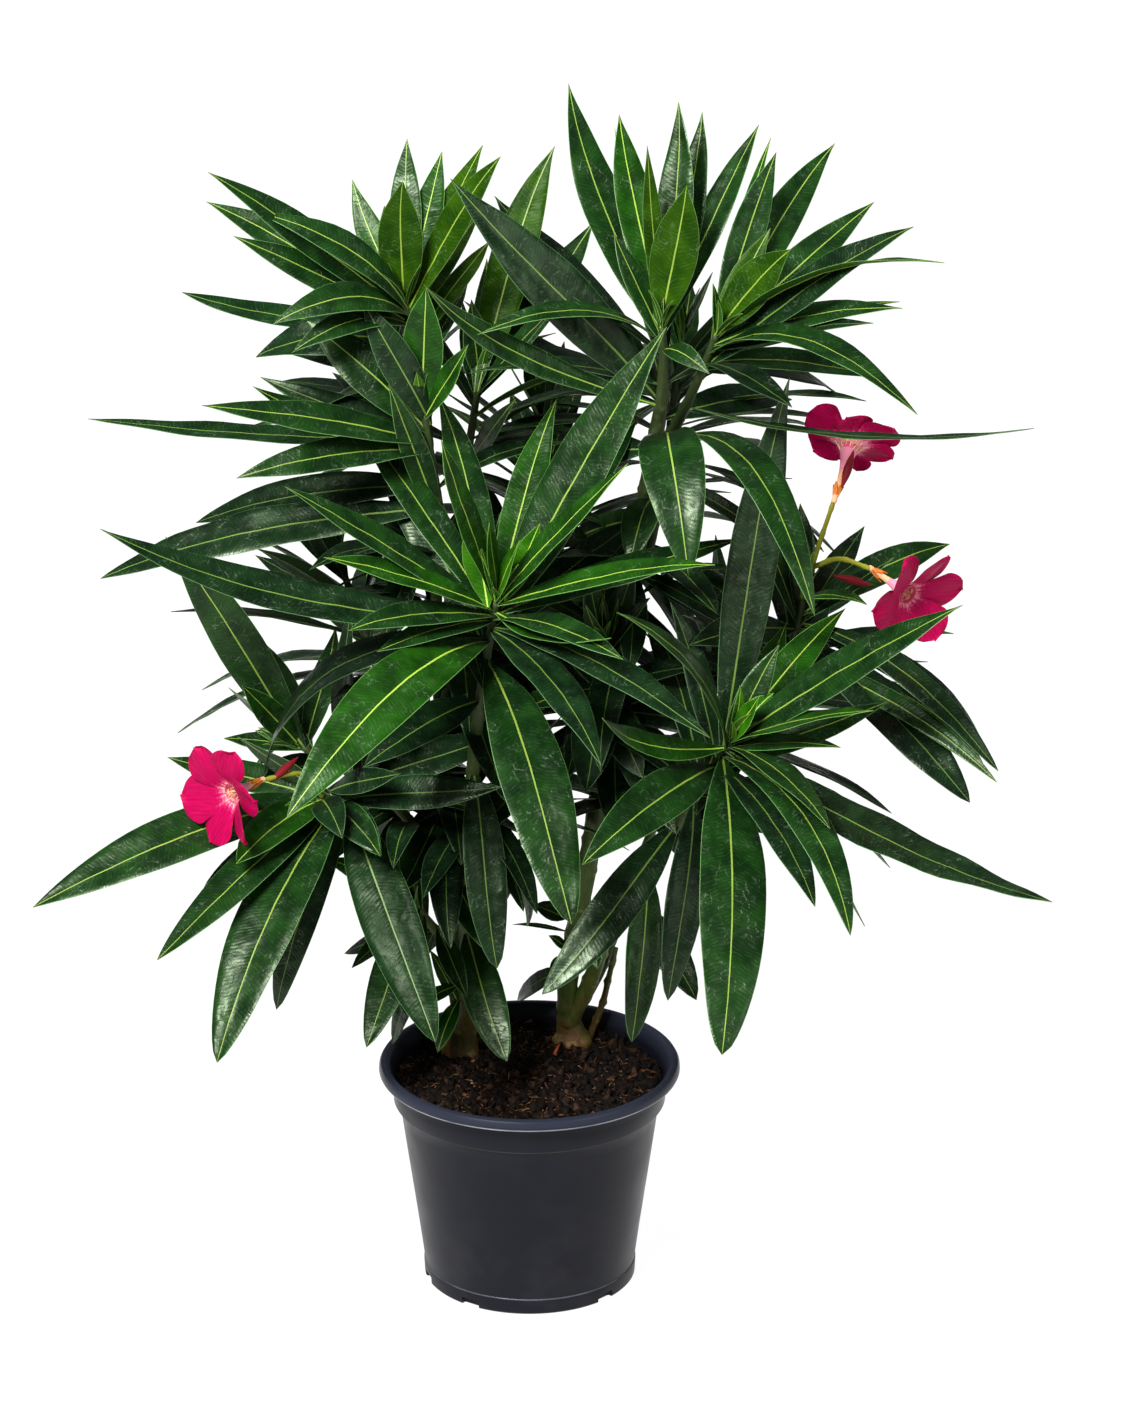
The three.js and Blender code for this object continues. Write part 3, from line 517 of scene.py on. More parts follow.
crumbs, fibres, flakes = Heap(), Heap(), Heap()
for index in range(CRUMB["count"]):
    size = chance.choice(CRUMB["sizes"])
    crumbs.put(*crumb(bed_place() + UP * (CRUMB["lift"] * size), size), kind=chance.choice((0, 0, 0, 0, 1)))
for index in range(FIBRE["count"]):
    place, turn = bed_place(), chance.uniform(0, 2 * math.pi)
    length, bow = chance.uniform(*FIBRE["length"]), chance.uniform(*FIBRE["bow"])
    points = []
    for step in FIBRE["steps"]:
        angle = turn + bow * step
        x = place.x + step * length / 2 * math.cos(angle)
        y = place.y + step * length / 2 * math.sin(angle)
        if math.hypot(x, y) < BED_REACH:
            points.append(on_ground(x, y, chance.uniform(*FIBRE["lift"])))
    if len(points) > 2:
        thick = chance.uniform(*FIBRE["thick"])
        radii = [FIBRE["end"], *[thick] * (len(points) - 2), FIBRE["end"]]
        fibres.put(*strand(points, radii), kind=chance.choice((0, 1, 1)))
for index in range(FLAKE["count"]):
    corners, faces = crumb(bed_place() + UP * FLAKE["lift"], chance.uniform(*FLAKE["size"]))
    middle = sum(corners, Vector()) / len(corners)
    corners = [middle + Vector((*(c - middle).xy, (c - middle).z * FLAKE["flat"])) for c in corners]
    flakes.put(corners, faces, kind=chance.choice((0, 0, 1)))

# A tan root lump by the left foot, and a curled sheath by the right one
flakes.put(*crumb(on_ground(*ROOT_LUMP["place"], ROOT_LUMP["lift"]), ROOT_LUMP["size"]), kind=0)
fibres.put(*strand([Vector(place) for place in SHEATH["places"]], SHEATH["radii"], 6), kind=2)

bark_crumb = compost_material("composted bark crumb", "#140b06", "#46301f", 0.7)
crumbs.piece("compost_crumbs", [peat, bark_crumb], "compost")
fibres.piece("compost_fibres", [
    compost_material("coir fibre", "#5c3420", "#a8714c", 0.6),
    compost_material("root fibre", "#3c2818", "#86643f", 0.6),
    compost_material("dry sheath", "#8a4420", "#b8683a", 0.6),
], "compost")
flakes.piece("compost_flakes", [
    compost_material("bark flake", "#5e3c22", "#a87c50", 0.6),
    compost_material("perlite grain", "#a08a66", "#d2bf9c", 0.7),
], "compost")

# %% [markdown]
# ## The plant's own rule
# The solids grew by a rule, and the finished plant grows by the same one, so every leaf is where its solid
# is. A stem or bough is a smooth line through a few places with a radius at each end. A shoot is one bent
# stem from its foot to its heart. Its showing leaves are a list, and whorls of three fill in the rest.

# %% Stems and boughs
# The radius at each end, the flare of a trunk's foot, and the places on the way, in millimetres
LIMBS = {
    "stem_left": dict(base=6.2, tip=4.2, flare=6.5, points=[
        [-44, 38, 134], [-40, 37, 162], [-39, 22, 246], [-39, 2, 298], [-36, -12, 327]]),
    "stem_right": dict(base=6.6, tip=4.8, flare=6, points=[
        [27, 54, 134], [24, 53, 166], [26, 50, 192], [35, 42, 251], [47, 34, 335], [61, 26, 432],
        [71, 22, 511], [77, 20, 551]]),
    "bough_left_tall": dict(base=4.6, tip=3.4, points=[
        [-40, 38, 163], [-47, 40, 200], [-50, 40, 273], [-56, 40, 374], [-58, 33, 469], [-62, 25, 556]]),
    "bough_left_mid": dict(base=3.6, tip=2.9, points=[[-55, 39, 348], [-50, 22, 395], [-49, 3, 469]]),
    "bough_centre_back": dict(base=3.6, tip=2.9, points=[[-56, 40, 370], [-48, 52, 420], [-44, 52, 489]]),
    "bough_left_low": dict(base=4, tip=3, points=[[-39, 19, 255], [-60, 7, 288], [-83, -8, 322]]),
    "bough_left_back": dict(base=3.6, tip=2.9, points=[[-50, 40, 253], [-72, 33, 288], [-93, 20, 317]]),
    "bough_rear_left": dict(base=3.6, tip=2.9, points=[[-54, 40, 320], [-70, 60, 350], [-92, 78, 372]]),
    "bough_front_right": dict(base=5.4, tip=4, points=[
        [26, 52, 150], [38, 48, 178], [50, 30, 222], [62, 12, 252]]),
    "bough_right_mid": dict(base=4, tip=3, points=[
        [39, 40, 276], [94, 32, 315], [131, 18, 345], [148, 10, 365]]),
    "bough_rear_right": dict(base=3.8, tip=2.9, points=[
        [27, 54, 150], [42, 66, 172], [66, 80, 235], [92, 92, 305]]),
    "bough_rear_centre": dict(base=3.8, tip=2.9, points=[[47, 34, 335], [34, 62, 372], [22, 84, 430]]),
    "bough_rear_high_left": dict(base=3.4, tip=2.8, points=[[-57, 37, 430], [-68, 62, 470], [-74, 78, 520]]),
    "bough_rear_high_right": dict(base=3.6, tip=2.8, points=[[62, 26, 440], [74, 56, 466], [84, 76, 505]]),
}
print("limbs:", len(LIMBS))

# %% Shoots
# The leaves that show: down from the heart, turn from +X, rise above level, reach, arch, width, roll
SHOOTS = {
    "crown_front_centre": dict(
        foot="stem_left", bend=[-31, -45, 406], heart=[-19, -75, 480],
        leaves=[
            [14, -173, 16, 245, -18, 38], [10, -163, 36, 160, 0, 30], [8, -153, 25, 125, 5],
            [14, 126, 39, 165], [6, 109, 43, 150], [4, -146, 71, 120], [2, 79, 35, 100], [4, 69, 44, 145],
            [6, -22, 50, 135, 5], [4, -23, 18, 150, 5], [8, -50, 7, 110, -8], [16, -49, 4, 120, 10],
            [24, -63, -14, 150, 14, 30], [48, -70, -37, 190, 22, 42], [34, -126, -14, 205, 34, 42],
            [30, 161, -36, 185, 40], [12, -142, 8, 110, 6], [22, -41, -9, 175, 16], [0, -105, 72, 60],
            [0, -44, 64, 50], [24, 10, 60, 215, 0, 44], [16, -140, 1, 90, 6], [140, -75, -62, 125, 10, 26],
            [12, 12, 14, 160, 6],
        ],
        fill=(4, 140, 90, 75),
    ),
    "crown_front_right": dict(
        foot="bough_front_right", bend=[88, -50, 319], heart=[122, -95, 398],
        leaves=[
            [14, -91, -38, 205, 16, 42], [8, -35, -11, 235, -8, 38], [6, -22, 37, 185, 6, 36],
            [4, 48, 28, 125], [2, 63, 33, 95], [4, -40, 24, 120, 5], [6, -137, 24, 115, -14],
            [10, -134, 50, 150, 16], [16, -64, -18, 175, 26], [24, -65, -18, 140, 12], [6, -59, -7, 115, 10],
            [26, -123, -5, 150, 14, 34], [62, -105, -60, 125, 12], [150, -100, -58, 110, 8],
            [90, -138, -36, 140, 12, 28], [8, -35, 13, 85], [16, 63, 67, 235, 0, 38], [0, -50, 54, 45],
            [0, 20, 45, 40],
        ],
        fill=(5, 140, 80, 75),
    ),
    "crown_left_low": dict(
        foot="bough_left_low", bend=[-104, -22, 334], heart=[-125, -35, 336], face=[-115, 48],
        leaves=[
            [6, -149, -4, 200, 18, 40], [10, -134, -22, 165, 8, 30], [14, -118, -37, 195, 20, 42],
            [20, -140, -64, 140, 10], [16, -63, -43, 170, 8, 36], [0, -128, -11, 85, 6, 32],
            [2, 154, 7, 120, 6], [6, -63, -11, 70, 4], [8, -166, -32, 100], [24, 156, -62, 90, 4],
        ],
        fill=(3, 120, 120, 80),
    ),
    "crown_left_back": dict(
        foot="bough_left_back", bend=[-118, 22, 337], heart=[-141, 20, 349], face=[-110, 40],
        leaves=[[4, -170, 60, 170, 8, 34], [0, -133, 48, 75], [2, 77, 35, 95], [8, 111, 22, 110]],
        fill=(4, 130, 110, 80),
    ),
    "crown_left_mid": dict(
        foot="bough_left_mid", bend=[-54, -5, 521], heart=[-63, -10, 577], face=[-100, 50],
        leaves=[
            [14, 168, -1, 215, -6, 24, -20], [20, -160, 16, 150, 10, 26], [24, -159, -1, 125, 10],
            [8, 158, 10, 110, -20], [62, 176, -13, 215, 14, 32], [46, 161, -15, 165, 10],
            [0, -75, 81, 85, 0, 30], [0, -161, 61, 50], [4, -46, 55, 70], [12, 170, 42, 100, 10, 34],
        ],
        fill=(5, 120, 110, 80),
    ),
    "crown_upper_left": dict(
        foot="bough_left_tall", bend=[-66, 22, 595], heart=[-74, 15, 638], face=[-100, 50],
        leaves=[
            [6, -161, 39, 160], [4, -166, 36, 120, 24], [10, 144, 17, 165], [12, -167, 30, 125, 4],
            [12, 161, 2, 150, -6, 24, -20], [8, -144, 8, 100, 20, 26], [4, 121, 45, 95, -6],
            [2, 90, 54, 110], [2, 71, 51, 105], [4, 55, 47, 118], [6, -15, 60, 120], [0, -88, 78, 85, 0, 32],
            [0, -172, 79, 65], [14, -141, 1, 90, 16], [28, 178, -4, 98, 18, 34],
        ],
        fill=(4, 110, 90, 80),
    ),
    "crown_centre_back": dict(
        foot="bough_centre_back", bend=[-37, 54, 533], heart=[-31, 55, 575], face=[-80, 60],
        leaves=[
            [6, 48, 63, 160, 0, 32], [10, 46, 41, 140, 0, 30], [2, 69, 48, 95], [0, -109, 77, 60],
            [8, -41, 47, 95],
        ],
        fill=(5, 110, 60, 100),
    ),
    "crown_upper_right": dict(
        foot="stem_right", bend=[84, 17, 581], heart=[81, 10, 626],
        leaves=[
            [6, 120, 49, 175, -8, 34], [4, 107, 52, 145, 0, 28], [4, 82, 62, 150], [6, 72, 56, 145],
            [6, 47, 53, 145], [2, 144, 84, 115, -6, 14], [0, 12, 80, 90, 0, 34], [44, 126, 28, 190, 0, 44],
            [44, 150, 10, 165, -8], [10, -156, 10, 125, 20, 24],
        ],
        fill=(4, 120, 110, 90),
    ),
    "crown_upper_right_front": dict(
        foot=[77, 20, 536], bend=[98, -5, 582], heart=[113, -25, 632], face=[-60, 50],
        leaves=[
            [0, -20, 51, 75, 0, 32], [6, 56, 34, 165], [8, 39, 27, 145], [30, -35, 38, 190, 4],
            [8, -27, 25, 165, 18], [10, -25, 18, 130, 8], [14, -33, 18, 120, 4], [18, -43, 0, 165, 32],
            [24, -58, -1, 95, 6], [2, 62, 50, 125], [92, -61, -18, 185, 45, 30], [88, -85, -24, 125, 38, 40],
            [60, -24, 4, 225, -12, 16, -30],
        ],
        fill=(3, 110, 50, 60),
    ),
    "crown_right_mid": dict(
        foot="bough_right_mid", bend=[163, 0, 421], heart=[168, -5, 456], face=[-60, 50],
        leaves=[
            [14, 35, 11, 120, 12], [0, -42, 20, 60, 4], [20, -37, -24, 160, 24, 20],
            [30, -47, -24, 165, 10, 34], [24, 6, -36, 150, 26, 18],
        ],
        fill=(7, 120, 80, 90),
    ),
    "crown_inner_right": dict(
        foot=[50, 28, 362], bend=[46, 6, 382], heart=[46, -14, 425],
        fill=(6, 115, 0, 180),
    ),
    "crown_inner_left": dict(
        foot=[-35, 3, 296], bend=[-22, 10, 306], heart=[-8, 16, 338],
        leaves=[[8, -160, 6, 90, 8], [14, -20, 0, 95, 8]],
        fill=(4, 95, 60, 140),
    ),
    "crown_foot_left": dict(
        foot=[-53, 38, 212], bend=[-61, 35, 220], heart=[-70, 28, 238],
        leaves=[[20, -150, -66, 80, 4], [12, -150, -20, 60, 6], [6, -100, -35, 75, 4], [0, 160, 20, 70, 6]],
        fill=(3, 75, 110, 90),
    ),
    "crown_rear_left": dict(
        foot="bough_rear_left", bend=[-105, 88, 405], heart=[-118, 98, 440],
        fill=(8, 150, 110, 110),
    ),
    "crown_rear_right": dict(
        foot="bough_rear_right", bend=[108, 102, 350], heart=[122, 112, 395],
        fill=(8, 160, 70, 110),
    ),
    "crown_rear_centre": dict(
        foot="bough_rear_centre", bend=[16, 98, 478], heart=[10, 108, 530],
        fill=(8, 150, 90, 130),
    ),
    "crown_rear_high_left": dict(
        foot="bough_rear_high_left", bend=[-78, 86, 550], heart=[-84, 92, 590],
        fill=(6, 125, 110, 110),
    ),
    "crown_rear_high_right": dict(
        foot="bough_rear_high_right", bend=[88, 86, 540], heart=[94, 94, 588],
        fill=(6, 130, 70, 110),
    ),
}
print("shoots:", len(SHOOTS))

# %% Sizes of the rule
FACET_GAP = 0.4
LEAF_CLEARANCE = 0.5
SHOOT_STEM = dict(base=3.6, tip=2.8)
LOWEST_LEAF = 0.04
LEAF_OUTLINE = ((0.16, 0.5), (0.42, 1), (0.72, 0.8))
LEAF_THICKNESS = 0.012
LEAF_FOLD = 0.16
LEAF_WIDTH = dict(least=14, share=0.085)
ROOT_SINK = 1.2
WHORL = dict(leaves=3, start=4, gap=13, turn_step=60, turn_spread=14, top_lean=22, low_lean=108,
    lean_spread=8, top_reach=60, full_at=0.62, reach_spread=(0.85, 1.1), arch=0.1)
SAME_PLACE = 24
SWINGS = (2, 4, 7, 11)
SWING_WAYS = 8
SEED = 20
MULTIPLIER = 16807
MODULUS = 2147483647


def draws(seed):
    """The same numbers between 0 and 1 on every run."""
    state = seed
    while True:
        state = state * MULTIPLIER % MODULUS
        yield state / MODULUS


def mix(start, end, share):
    return start + (end - start) * share


def heading(turn, rise):
    """The way that turns from +X and rises above level, in degrees."""
    turn, rise = math.radians(turn), math.radians(rise)
    return Vector((math.cos(rise) * math.cos(turn), math.cos(rise) * math.sin(turn), math.sin(rise)))


def leaning(axis, spin, lean):
    """The way that leans from an axis, after a turn round it, in degrees."""
    outward = Quaternion(axis, math.radians(spin)) @ UP.cross(axis).normalized()
    return axis * math.cos(math.radians(lean)) + outward * math.sin(math.radians(lean))


# %% Smooth lines
CURVE_STEPS = 200


def spline_place(points, share):
    """A place on the centripetal spline through the points, at a share of its spans."""
    spans = len(points) - 1
    index = min(int(share * spans), spans - 1)
    part = share * spans - index
    p1, p2 = points[index], points[index + 1]
    p0 = points[index - 1] if index > 0 else 2 * p1 - p2
    p3 = points[index + 2] if index + 2 <= spans else 2 * p2 - p1
    d0, d1, d2 = [math.sqrt((b - a).length) for a, b in ((p0, p1), (p1, p2), (p2, p3))]
    leave = ((p1 - p0) / d0 - (p2 - p0) / (d0 + d1) + (p2 - p1) / d1) * d1
    arrive = ((p2 - p1) / d1 - (p3 - p1) / (d1 + d2) + (p3 - p2) / d2) * d1
    bend = -3 * p1 + 3 * p2 - 2 * leave - arrive
    twist = 2 * p1 - 2 * p2 + leave + arrive
    return p1 + leave * part + bend * part ** 2 + twist * part ** 3


def even_places(points, count):
    """Places on the spline at even lengths, and the whole length."""
    points = [Vector(point) for point in points]
    line = [spline_place(points, step / CURVE_STEPS) for step in range(CURVE_STEPS + 1)]
    run = [0.0]
    for a, b in zip(line, line[1:]):
        run.append(run[-1] + (b - a).length)
    goals = [run[-1] * step / count for step in range(count + 1)]
    shares = np.interp(goals, run, np.linspace(0, 1, len(run)))
    return [spline_place(points, float(share)) for share in shares], run[-1]


def ring_frames(places):
    """The way along, across and upward at each place, turned as little as can be from one to the next."""
    ways = ways_along(places)
    first = ways[0]
    least = min(range(3), key=lambda axis: (abs(first[axis]), -axis))
    start = Vector([1.0 if axis == least else 0.0 for axis in range(3)])
    across = first.cross(first.cross(start).normalized())
    frames = []
    for index, way in enumerate(ways):
        if index:
            across = ways[index - 1].rotation_difference(way) @ across
        frames.append((way, across, way.cross(across)))
    return frames


def stem_points(shoot):
    """Foot, bend and heart. A shoot that goes on from a limb begins a gap beyond the limb's tip."""
    foot = shoot["foot"]
    if isinstance(foot, str):
        points = [Vector(point) for point in LIMBS[foot]["points"]]
        end, before = spline_place(points, 1), spline_place(points, 1 - 1e-4)
        foot = end + (end - before).normalized() * FACET_GAP
    return Vector(foot), Vector(shoot["bend"]), Vector(shoot["heart"])


def stem_place(shoot, share):
    """A place on the bent stem from foot to heart."""
    foot, bend, heart = stem_points(shoot)
    return foot * (1 - share) ** 2 + bend * 2 * share * (1 - share) + heart * share ** 2


def stem_way(shoot, share):
    foot, bend, heart = stem_points(shoot)
    return ((bend - foot) * (1 - share) + (heart - bend) * share).normalized()


def stem_length(shoot):
    foot, bend, heart = stem_points(shoot)
    return (bend - foot).length + (heart - bend).length


def leaf_root(place, axis, direction):
    """A leaf's root is sunk past the middle of its stem."""
    outward = (direction - axis * axis.dot(direction)).normalized()
    return place - outward * ROOT_SINK


print("longest limb in mm:", round(max(even_places(limb["points"], 1)[1] for limb in LIMBS.values())))


# %% [markdown]
# ## Keeping leaves apart
# The rule tries each leaf where it should be, then swings it a little each way, and skips it if it never
# comes clear of its neighbours. To find the same places, the same plain blades are tested here, as trees of
# triangles that can be asked whether they cross.

# %% Plain blades and their places
def upper_way(leaf):
    """The way that the middle of the leaf's upper face looks, after its roll."""
    upper = leaf["axis"] - leaf["direction"] * leaf["axis"].dot(leaf["direction"])
    return Quaternion(leaf["direction"], math.radians(leaf["roll"])) @ upper.normalized()


def blade(leaf, grow=0.0):
    """The leaf's plain solid: four-cornered rings on an arched line from root to tip."""
    root, direction, reach = leaf["root"], leaf["direction"], leaf["reach"]
    arch, width, upper = leaf["arch"], leaf["width"], upper_way(leaf)
    tip = root + direction * (reach + grow)
    thick = LEAF_THICKNESS * reach + 2 * grow
    corners = []
    for share, half in LEAF_OUTLINE:
        centre = root.lerp(tip, share) + upper * (4 * arch * share * (1 - share))
        along = (direction * reach + upper * (4 * arch * (1 - 2 * share))).normalized()
        normal = (upper - along * upper.dot(along)).normalized()
        side = along.cross(normal) * (half * width / 2 + grow)
        fold = centre + normal * (LEAF_FOLD * half * width)
        corners += [centre + normal * thick / 2, fold + side, centre - normal * thick / 2, fold - side]
    corners += [root, tip]
    faces = wall_faces(len(LEAF_OUTLINE), 4)
    last = 4 * (len(LEAF_OUTLINE) - 1)
    for side in range(4):
        faces.append(((side + 1) % 4, side, len(corners) - 2))
        faces.append((last + side, last + (side + 1) % 4, len(corners) - 1))
    return corners, faces


class Room:
    """What is placed so far, so that what comes later keeps clear of it."""

    def __init__(self):
        self.taken = []

    def shape(self, corners, faces):
        lows = [min(c[axis] for c in corners) for axis in range(3)]
        highs = [max(c[axis] for c in corners) for axis in range(3)]
        return lows, highs, BVHTree.FromPolygons(corners, faces)

    def claim(self, owner, corners, faces):
        self.taken.append((owner, *self.shape(corners, faces)))

    def is_clear(self, owner, corners, faces):
        lows, highs, tree = self.shape(corners, faces)
        return not any(
            other != owner
            and all(lows[axis] <= their_highs[axis] and their_lows[axis] <= highs[axis] for axis in range(3))
            and tree.overlap(their_tree)
            for other, their_lows, their_highs, their_tree in self.taken
        )


def swings():
    """Nowhere first, then ever wider swings each way round, as turn and rise."""
    yield 0, 0
    for wide in SWINGS:
        for way in range(SWING_WAYS):
            angle = way / SWING_WAYS * 2 * math.pi
            yield wide * math.cos(angle), wide * math.sin(angle)


def place_leaf(room, name, leaf, placed):
    """Puts the leaf where it comes clear of the other shoots, if there is such a place."""
    for turn, rise in swings():
        swung = dict(leaf, direction=heading(leaf["turn"] + turn, leaf["rise"] + rise))
        if room.is_clear(name, *blade(swung, LEAF_CLEARANCE)):
            room.claim(name, *blade(swung))
            placed.append(swung)
            return


# %% Leaves of a shoot
def listed_leaf(shoot, row):
    """A leaf that shows, from its row in the list."""
    down, turn, rise, reach, arch, width, roll = [*row, 0, 0, 0][:7]
    share = max(LOWEST_LEAF, 1 - down / stem_length(shoot))
    axis, direction = stem_way(shoot, share), heading(turn, rise)
    return dict(
        root=leaf_root(stem_place(shoot, share), axis, direction), turn=turn, rise=rise, reach=reach,
        arch=arch, roll=roll, direction=direction, down=down,
        axis=heading(*shoot["face"]) if "face" in shoot else axis,
        width=width or LEAF_WIDTH["least"] + LEAF_WIDTH["share"] * reach,
    )


def whorl_leaf(shoot, whorl, index, number):
    """A leaf of the filling: its place in the whorl, with the lean, turn and reach that chance gives it."""
    whorls, longest = shoot["fill"][:2]
    share = whorl / (whorls - 1)
    down = WHORL["start"] + whorl * WHORL["gap"]
    at = max(LOWEST_LEAF, 1 - down / stem_length(shoot))
    spin = WHORL["turn_step"] * whorl + 360 / WHORL["leaves"] * index
    spin += mix(-WHORL["turn_spread"], WHORL["turn_spread"], next(number))
    lean = mix(WHORL["top_lean"], WHORL["low_lean"], share)
    lean += mix(-WHORL["lean_spread"], WHORL["lean_spread"], next(number))
    reach = mix(WHORL["top_reach"], longest, min(1, share / WHORL["full_at"]))
    reach *= mix(*WHORL["reach_spread"], next(number))
    axis = stem_way(shoot, at)
    direction = leaning(axis, spin, lean)
    return dict(
        root=leaf_root(stem_place(shoot, at), axis, direction), axis=axis, direction=direction, down=down,
        turn=math.degrees(math.atan2(direction.y, direction.x)), rise=math.degrees(math.asin(direction.z)),
        reach=reach, arch=WHORL["arch"] * reach * share, roll=0,
        width=LEAF_WIDTH["least"] + LEAF_WIDTH["share"] * reach,
    )


def apart(one, other):
    """The angle between two turns, the short way round."""
    angle = abs(one - other) % 360
    return min(angle, 360 - angle)


def fill_shoots(room, leaves, number, half_step, same_place):
    """Runs whorls of three down every shoot, wherever its sector and the leaves before them leave room."""
    for name, shoot in SHOOTS.items():
        placed, (whorls, longest, middle, half) = leaves[name], shoot["fill"]
        for whorl in range(whorls):
            for index in range(WHORL["leaves"]):
                leaf = whorl_leaf(shoot, whorl + half_step, index, number)
                way = leaf["direction"]
                free = all(math.degrees(other["direction"].angle(way)) > same_place for other in placed)
                if free and apart(leaf["turn"], middle) <= half:
                    place_leaf(room, name, leaf, placed)


# %% Place every leaf
def limb_tube(points, base, tip, sides, rings):
    """A plain tapering tube for the test of clearance."""
    places = even_places(points, rings)[0]
    corners = []
    for index, (centre, (way, across, upward)) in enumerate(zip(places, ring_frames(places))):
        corners += ring_points(centre, across, upward, mix(base, tip, index / rings), sides)
    return corners, tube_faces(rings + 1, sides)


room = Room()
for name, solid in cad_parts.items():
    if not name.startswith("crown_"):
        room.claim(name, [v.co / MM for v in solid.data.vertices], [p.vertices for p in solid.data.polygons])
for name, shoot in SHOOTS.items():
    points = [stem_place(shoot, share) for share in (0, 0.5, 1)]
    room.claim(name, *limb_tube(points, SHOOT_STEM["base"], SHOOT_STEM["tip"], 3, 4))

leaves = {name: [] for name in SHOOTS}
for name, shoot in SHOOTS.items():
    for row in shoot.get("leaves", ()):
        place_leaf(room, name, listed_leaf(shoot, row), leaves[name])
number = draws(SEED)
fill_shoots(room, leaves, number, 0, SAME_PLACE)
print("leaves of the solids:", sum(len(placed) for placed in leaves.values()))

# %% [markdown]
# ## Stems and boughs
# Oleander bark is green and smooth on young wood and turns tan and corky at the foot. Every place where a
# whorl of three leaves fell keeps a swollen ring with three pale scars. A smooth cylinder would look like a
# pipe, so each limb is a tube of close rings whose radius swells at the nodes and rises under each scar.

# %% Bark materials
BARK_PATCH_MM = 16
BARK_CRACK_MM = 1.7
# Heights in metres: where the tan of the foot ends, and where painted shade of the crowns begins to darken
# the green
TAN_TO = (0.165, 0.24)
SHADED_FROM = (0.28, 0.42)


def bark_material(name, young, old, roughness):
    """Green above and corky below the height of the change, darkened higher up by painted shade, with fine
    lengthwise cracks.
    """
    material, tree, shader = new_material(name, young, roughness)
    where = add(tree, "TexCoord").outputs["Object"]
    patch = add(tree, "TexNoise", {"Vector": where, "Scale": per_metre(BARK_PATCH_MM), "Detail": 4.0})
    height = add(tree, "SeparateXYZ", {"Vector": where}).outputs["Z"]
    lifted = add(tree, "Math", {0: patch, 1: 0.12, 2: height}, operation="MULTIPLY_ADD")
    age = add(tree, "MapRange", {"Value": lifted, "From Min": TAN_TO[1], "From Max": TAN_TO[0]})
    shaded = add(tree, "MapRange", {"Value": height, "From Min": SHADED_FROM[0], "From Max": SHADED_FROM[1],
        "To Max": 0.7})
    tint = add(tree, "Mix", {0: shaded, 6: linear(young), 7: linear("#1a280a")}, data_type="RGBA")
    tint = add(tree, "Mix", {0: age, 6: tint, 7: linear(old)}, data_type="RGBA")
    long = add(tree, "Mapping", {"Vector": where, "Scale": (1.0, 1.0, 0.22)})
    crack = add(tree, "TexNoise", {"Vector": long, "Scale": per_metre(BARK_CRACK_MM), "Detail": 5.0,
        "Roughness": 0.65})
    shade = add(tree, "MapRange", {"Value": crack, "From Min": 0.35, "From Max": 0.7, "To Min": 0.62,
        "To Max": 1.25})
    tint = add(tree, "Mix", {0: 1.0, 6: tint, 7: shade}, data_type="RGBA", blend_type="MULTIPLY")
    finish_skin(shader, tint, crack, 0.55, 0.5 * MM)
    return material


bark_skins = [
    bark_material("oleander bark", "#3c4e0c", "#6e4422", 0.62),
    bark_material("leaf scar cork", "#646a2a", "#94683e", 0.7),
]
print("bark materials:", [skin.name for skin in bark_skins])

# %% Tube with scars
SCAR = dict(lift=0.7, long=1.7, wide=0.45, face_long=1.1, face_wide=0.42)
NODE_SWELL = 0.45
BUMPS_PER_MM = 0.16


def off_turn(angle, turn):
    """How far an angle is from a turn, the short way round."""
    return (angle - turn + math.pi) % (2 * math.pi) - math.pi


def stem_skin(heap, places, radius_at, sides, scars=(), rough=0.3, rings_at=()):
    """A closed tube through even places. Scars are (length down the tube, angle), and swell and rise."""
    step = (places[1] - places[0]).length
    corners, kinds = [], []
    for index, (centre, (way, across, upward)) in enumerate(zip(places, ring_frames(places))):
        run = index * step
        radius = radius_at(run, index / (len(places) - 1))
        swell = sum(NODE_SWELL * math.exp(-((run - at) / SCAR["long"]) ** 2) for at in rings_at)
        for side, bare in enumerate(ring_points(centre, across, upward, radius, sides)):
            angle, lift = 2 * math.pi * side / sides, 0
            for at, turn in scars:
                if abs(run - at) < 3 * SCAR["long"]:
                    beside = off_turn(angle, turn) / SCAR["wide"]
                    lift += SCAR["lift"] * math.exp(-((run - at) / SCAR["long"]) ** 2 - beside ** 2)
            lift += rough * noise.noise(bare * BUMPS_PER_MM)
            outward = across * math.cos(angle) + upward * math.sin(angle)
            corners.append(centre + outward * (radius + swell + lift))
            near = any(
                abs((index + 0.5) * step - at) < SCAR["face_long"]
                and abs(off_turn(2 * math.pi * (side + 0.5) / sides, turn)) < SCAR["face_wide"]
                for at, turn in scars
            )
            kinds.append(1 if near else 0)
    heap.put(corners, tube_faces(len(places), sides), kinds[:-sides] + [0, 0])


def node_scars(length, start, space, chance):
    """Rings up a stem, and on each ring three scars that turn by a sixth from ring to ring."""
    rings_at, scars, turn = [], [], chance.uniform(0, 2)
    at = start + chance.uniform(0, space)
    while at < length - 4:
        rings_at.append(at)
        scars += [(at, (turn + third * 2 * math.pi / 3) % (2 * math.pi)) for third in range(3)]
        turn += math.pi / 3
        at += space * chance.uniform(0.85, 1.15)
    return rings_at, scars


# %% Limbs
LIMB_SIDES = 20
LIMB_STEP = 2.6
LIMB_SCARS = dict(start=14, space=24)
LIMB_ROUGH = dict(trunk=0.9, bough=0.35)
SUNK = dict(trunk=16, bough=4)
FLARE_FADE = 4
WRINKLE = dict(deep=0.35, close=1.5, fade=16)
COLLAR = dict(rise=1.3, fade=4.5)
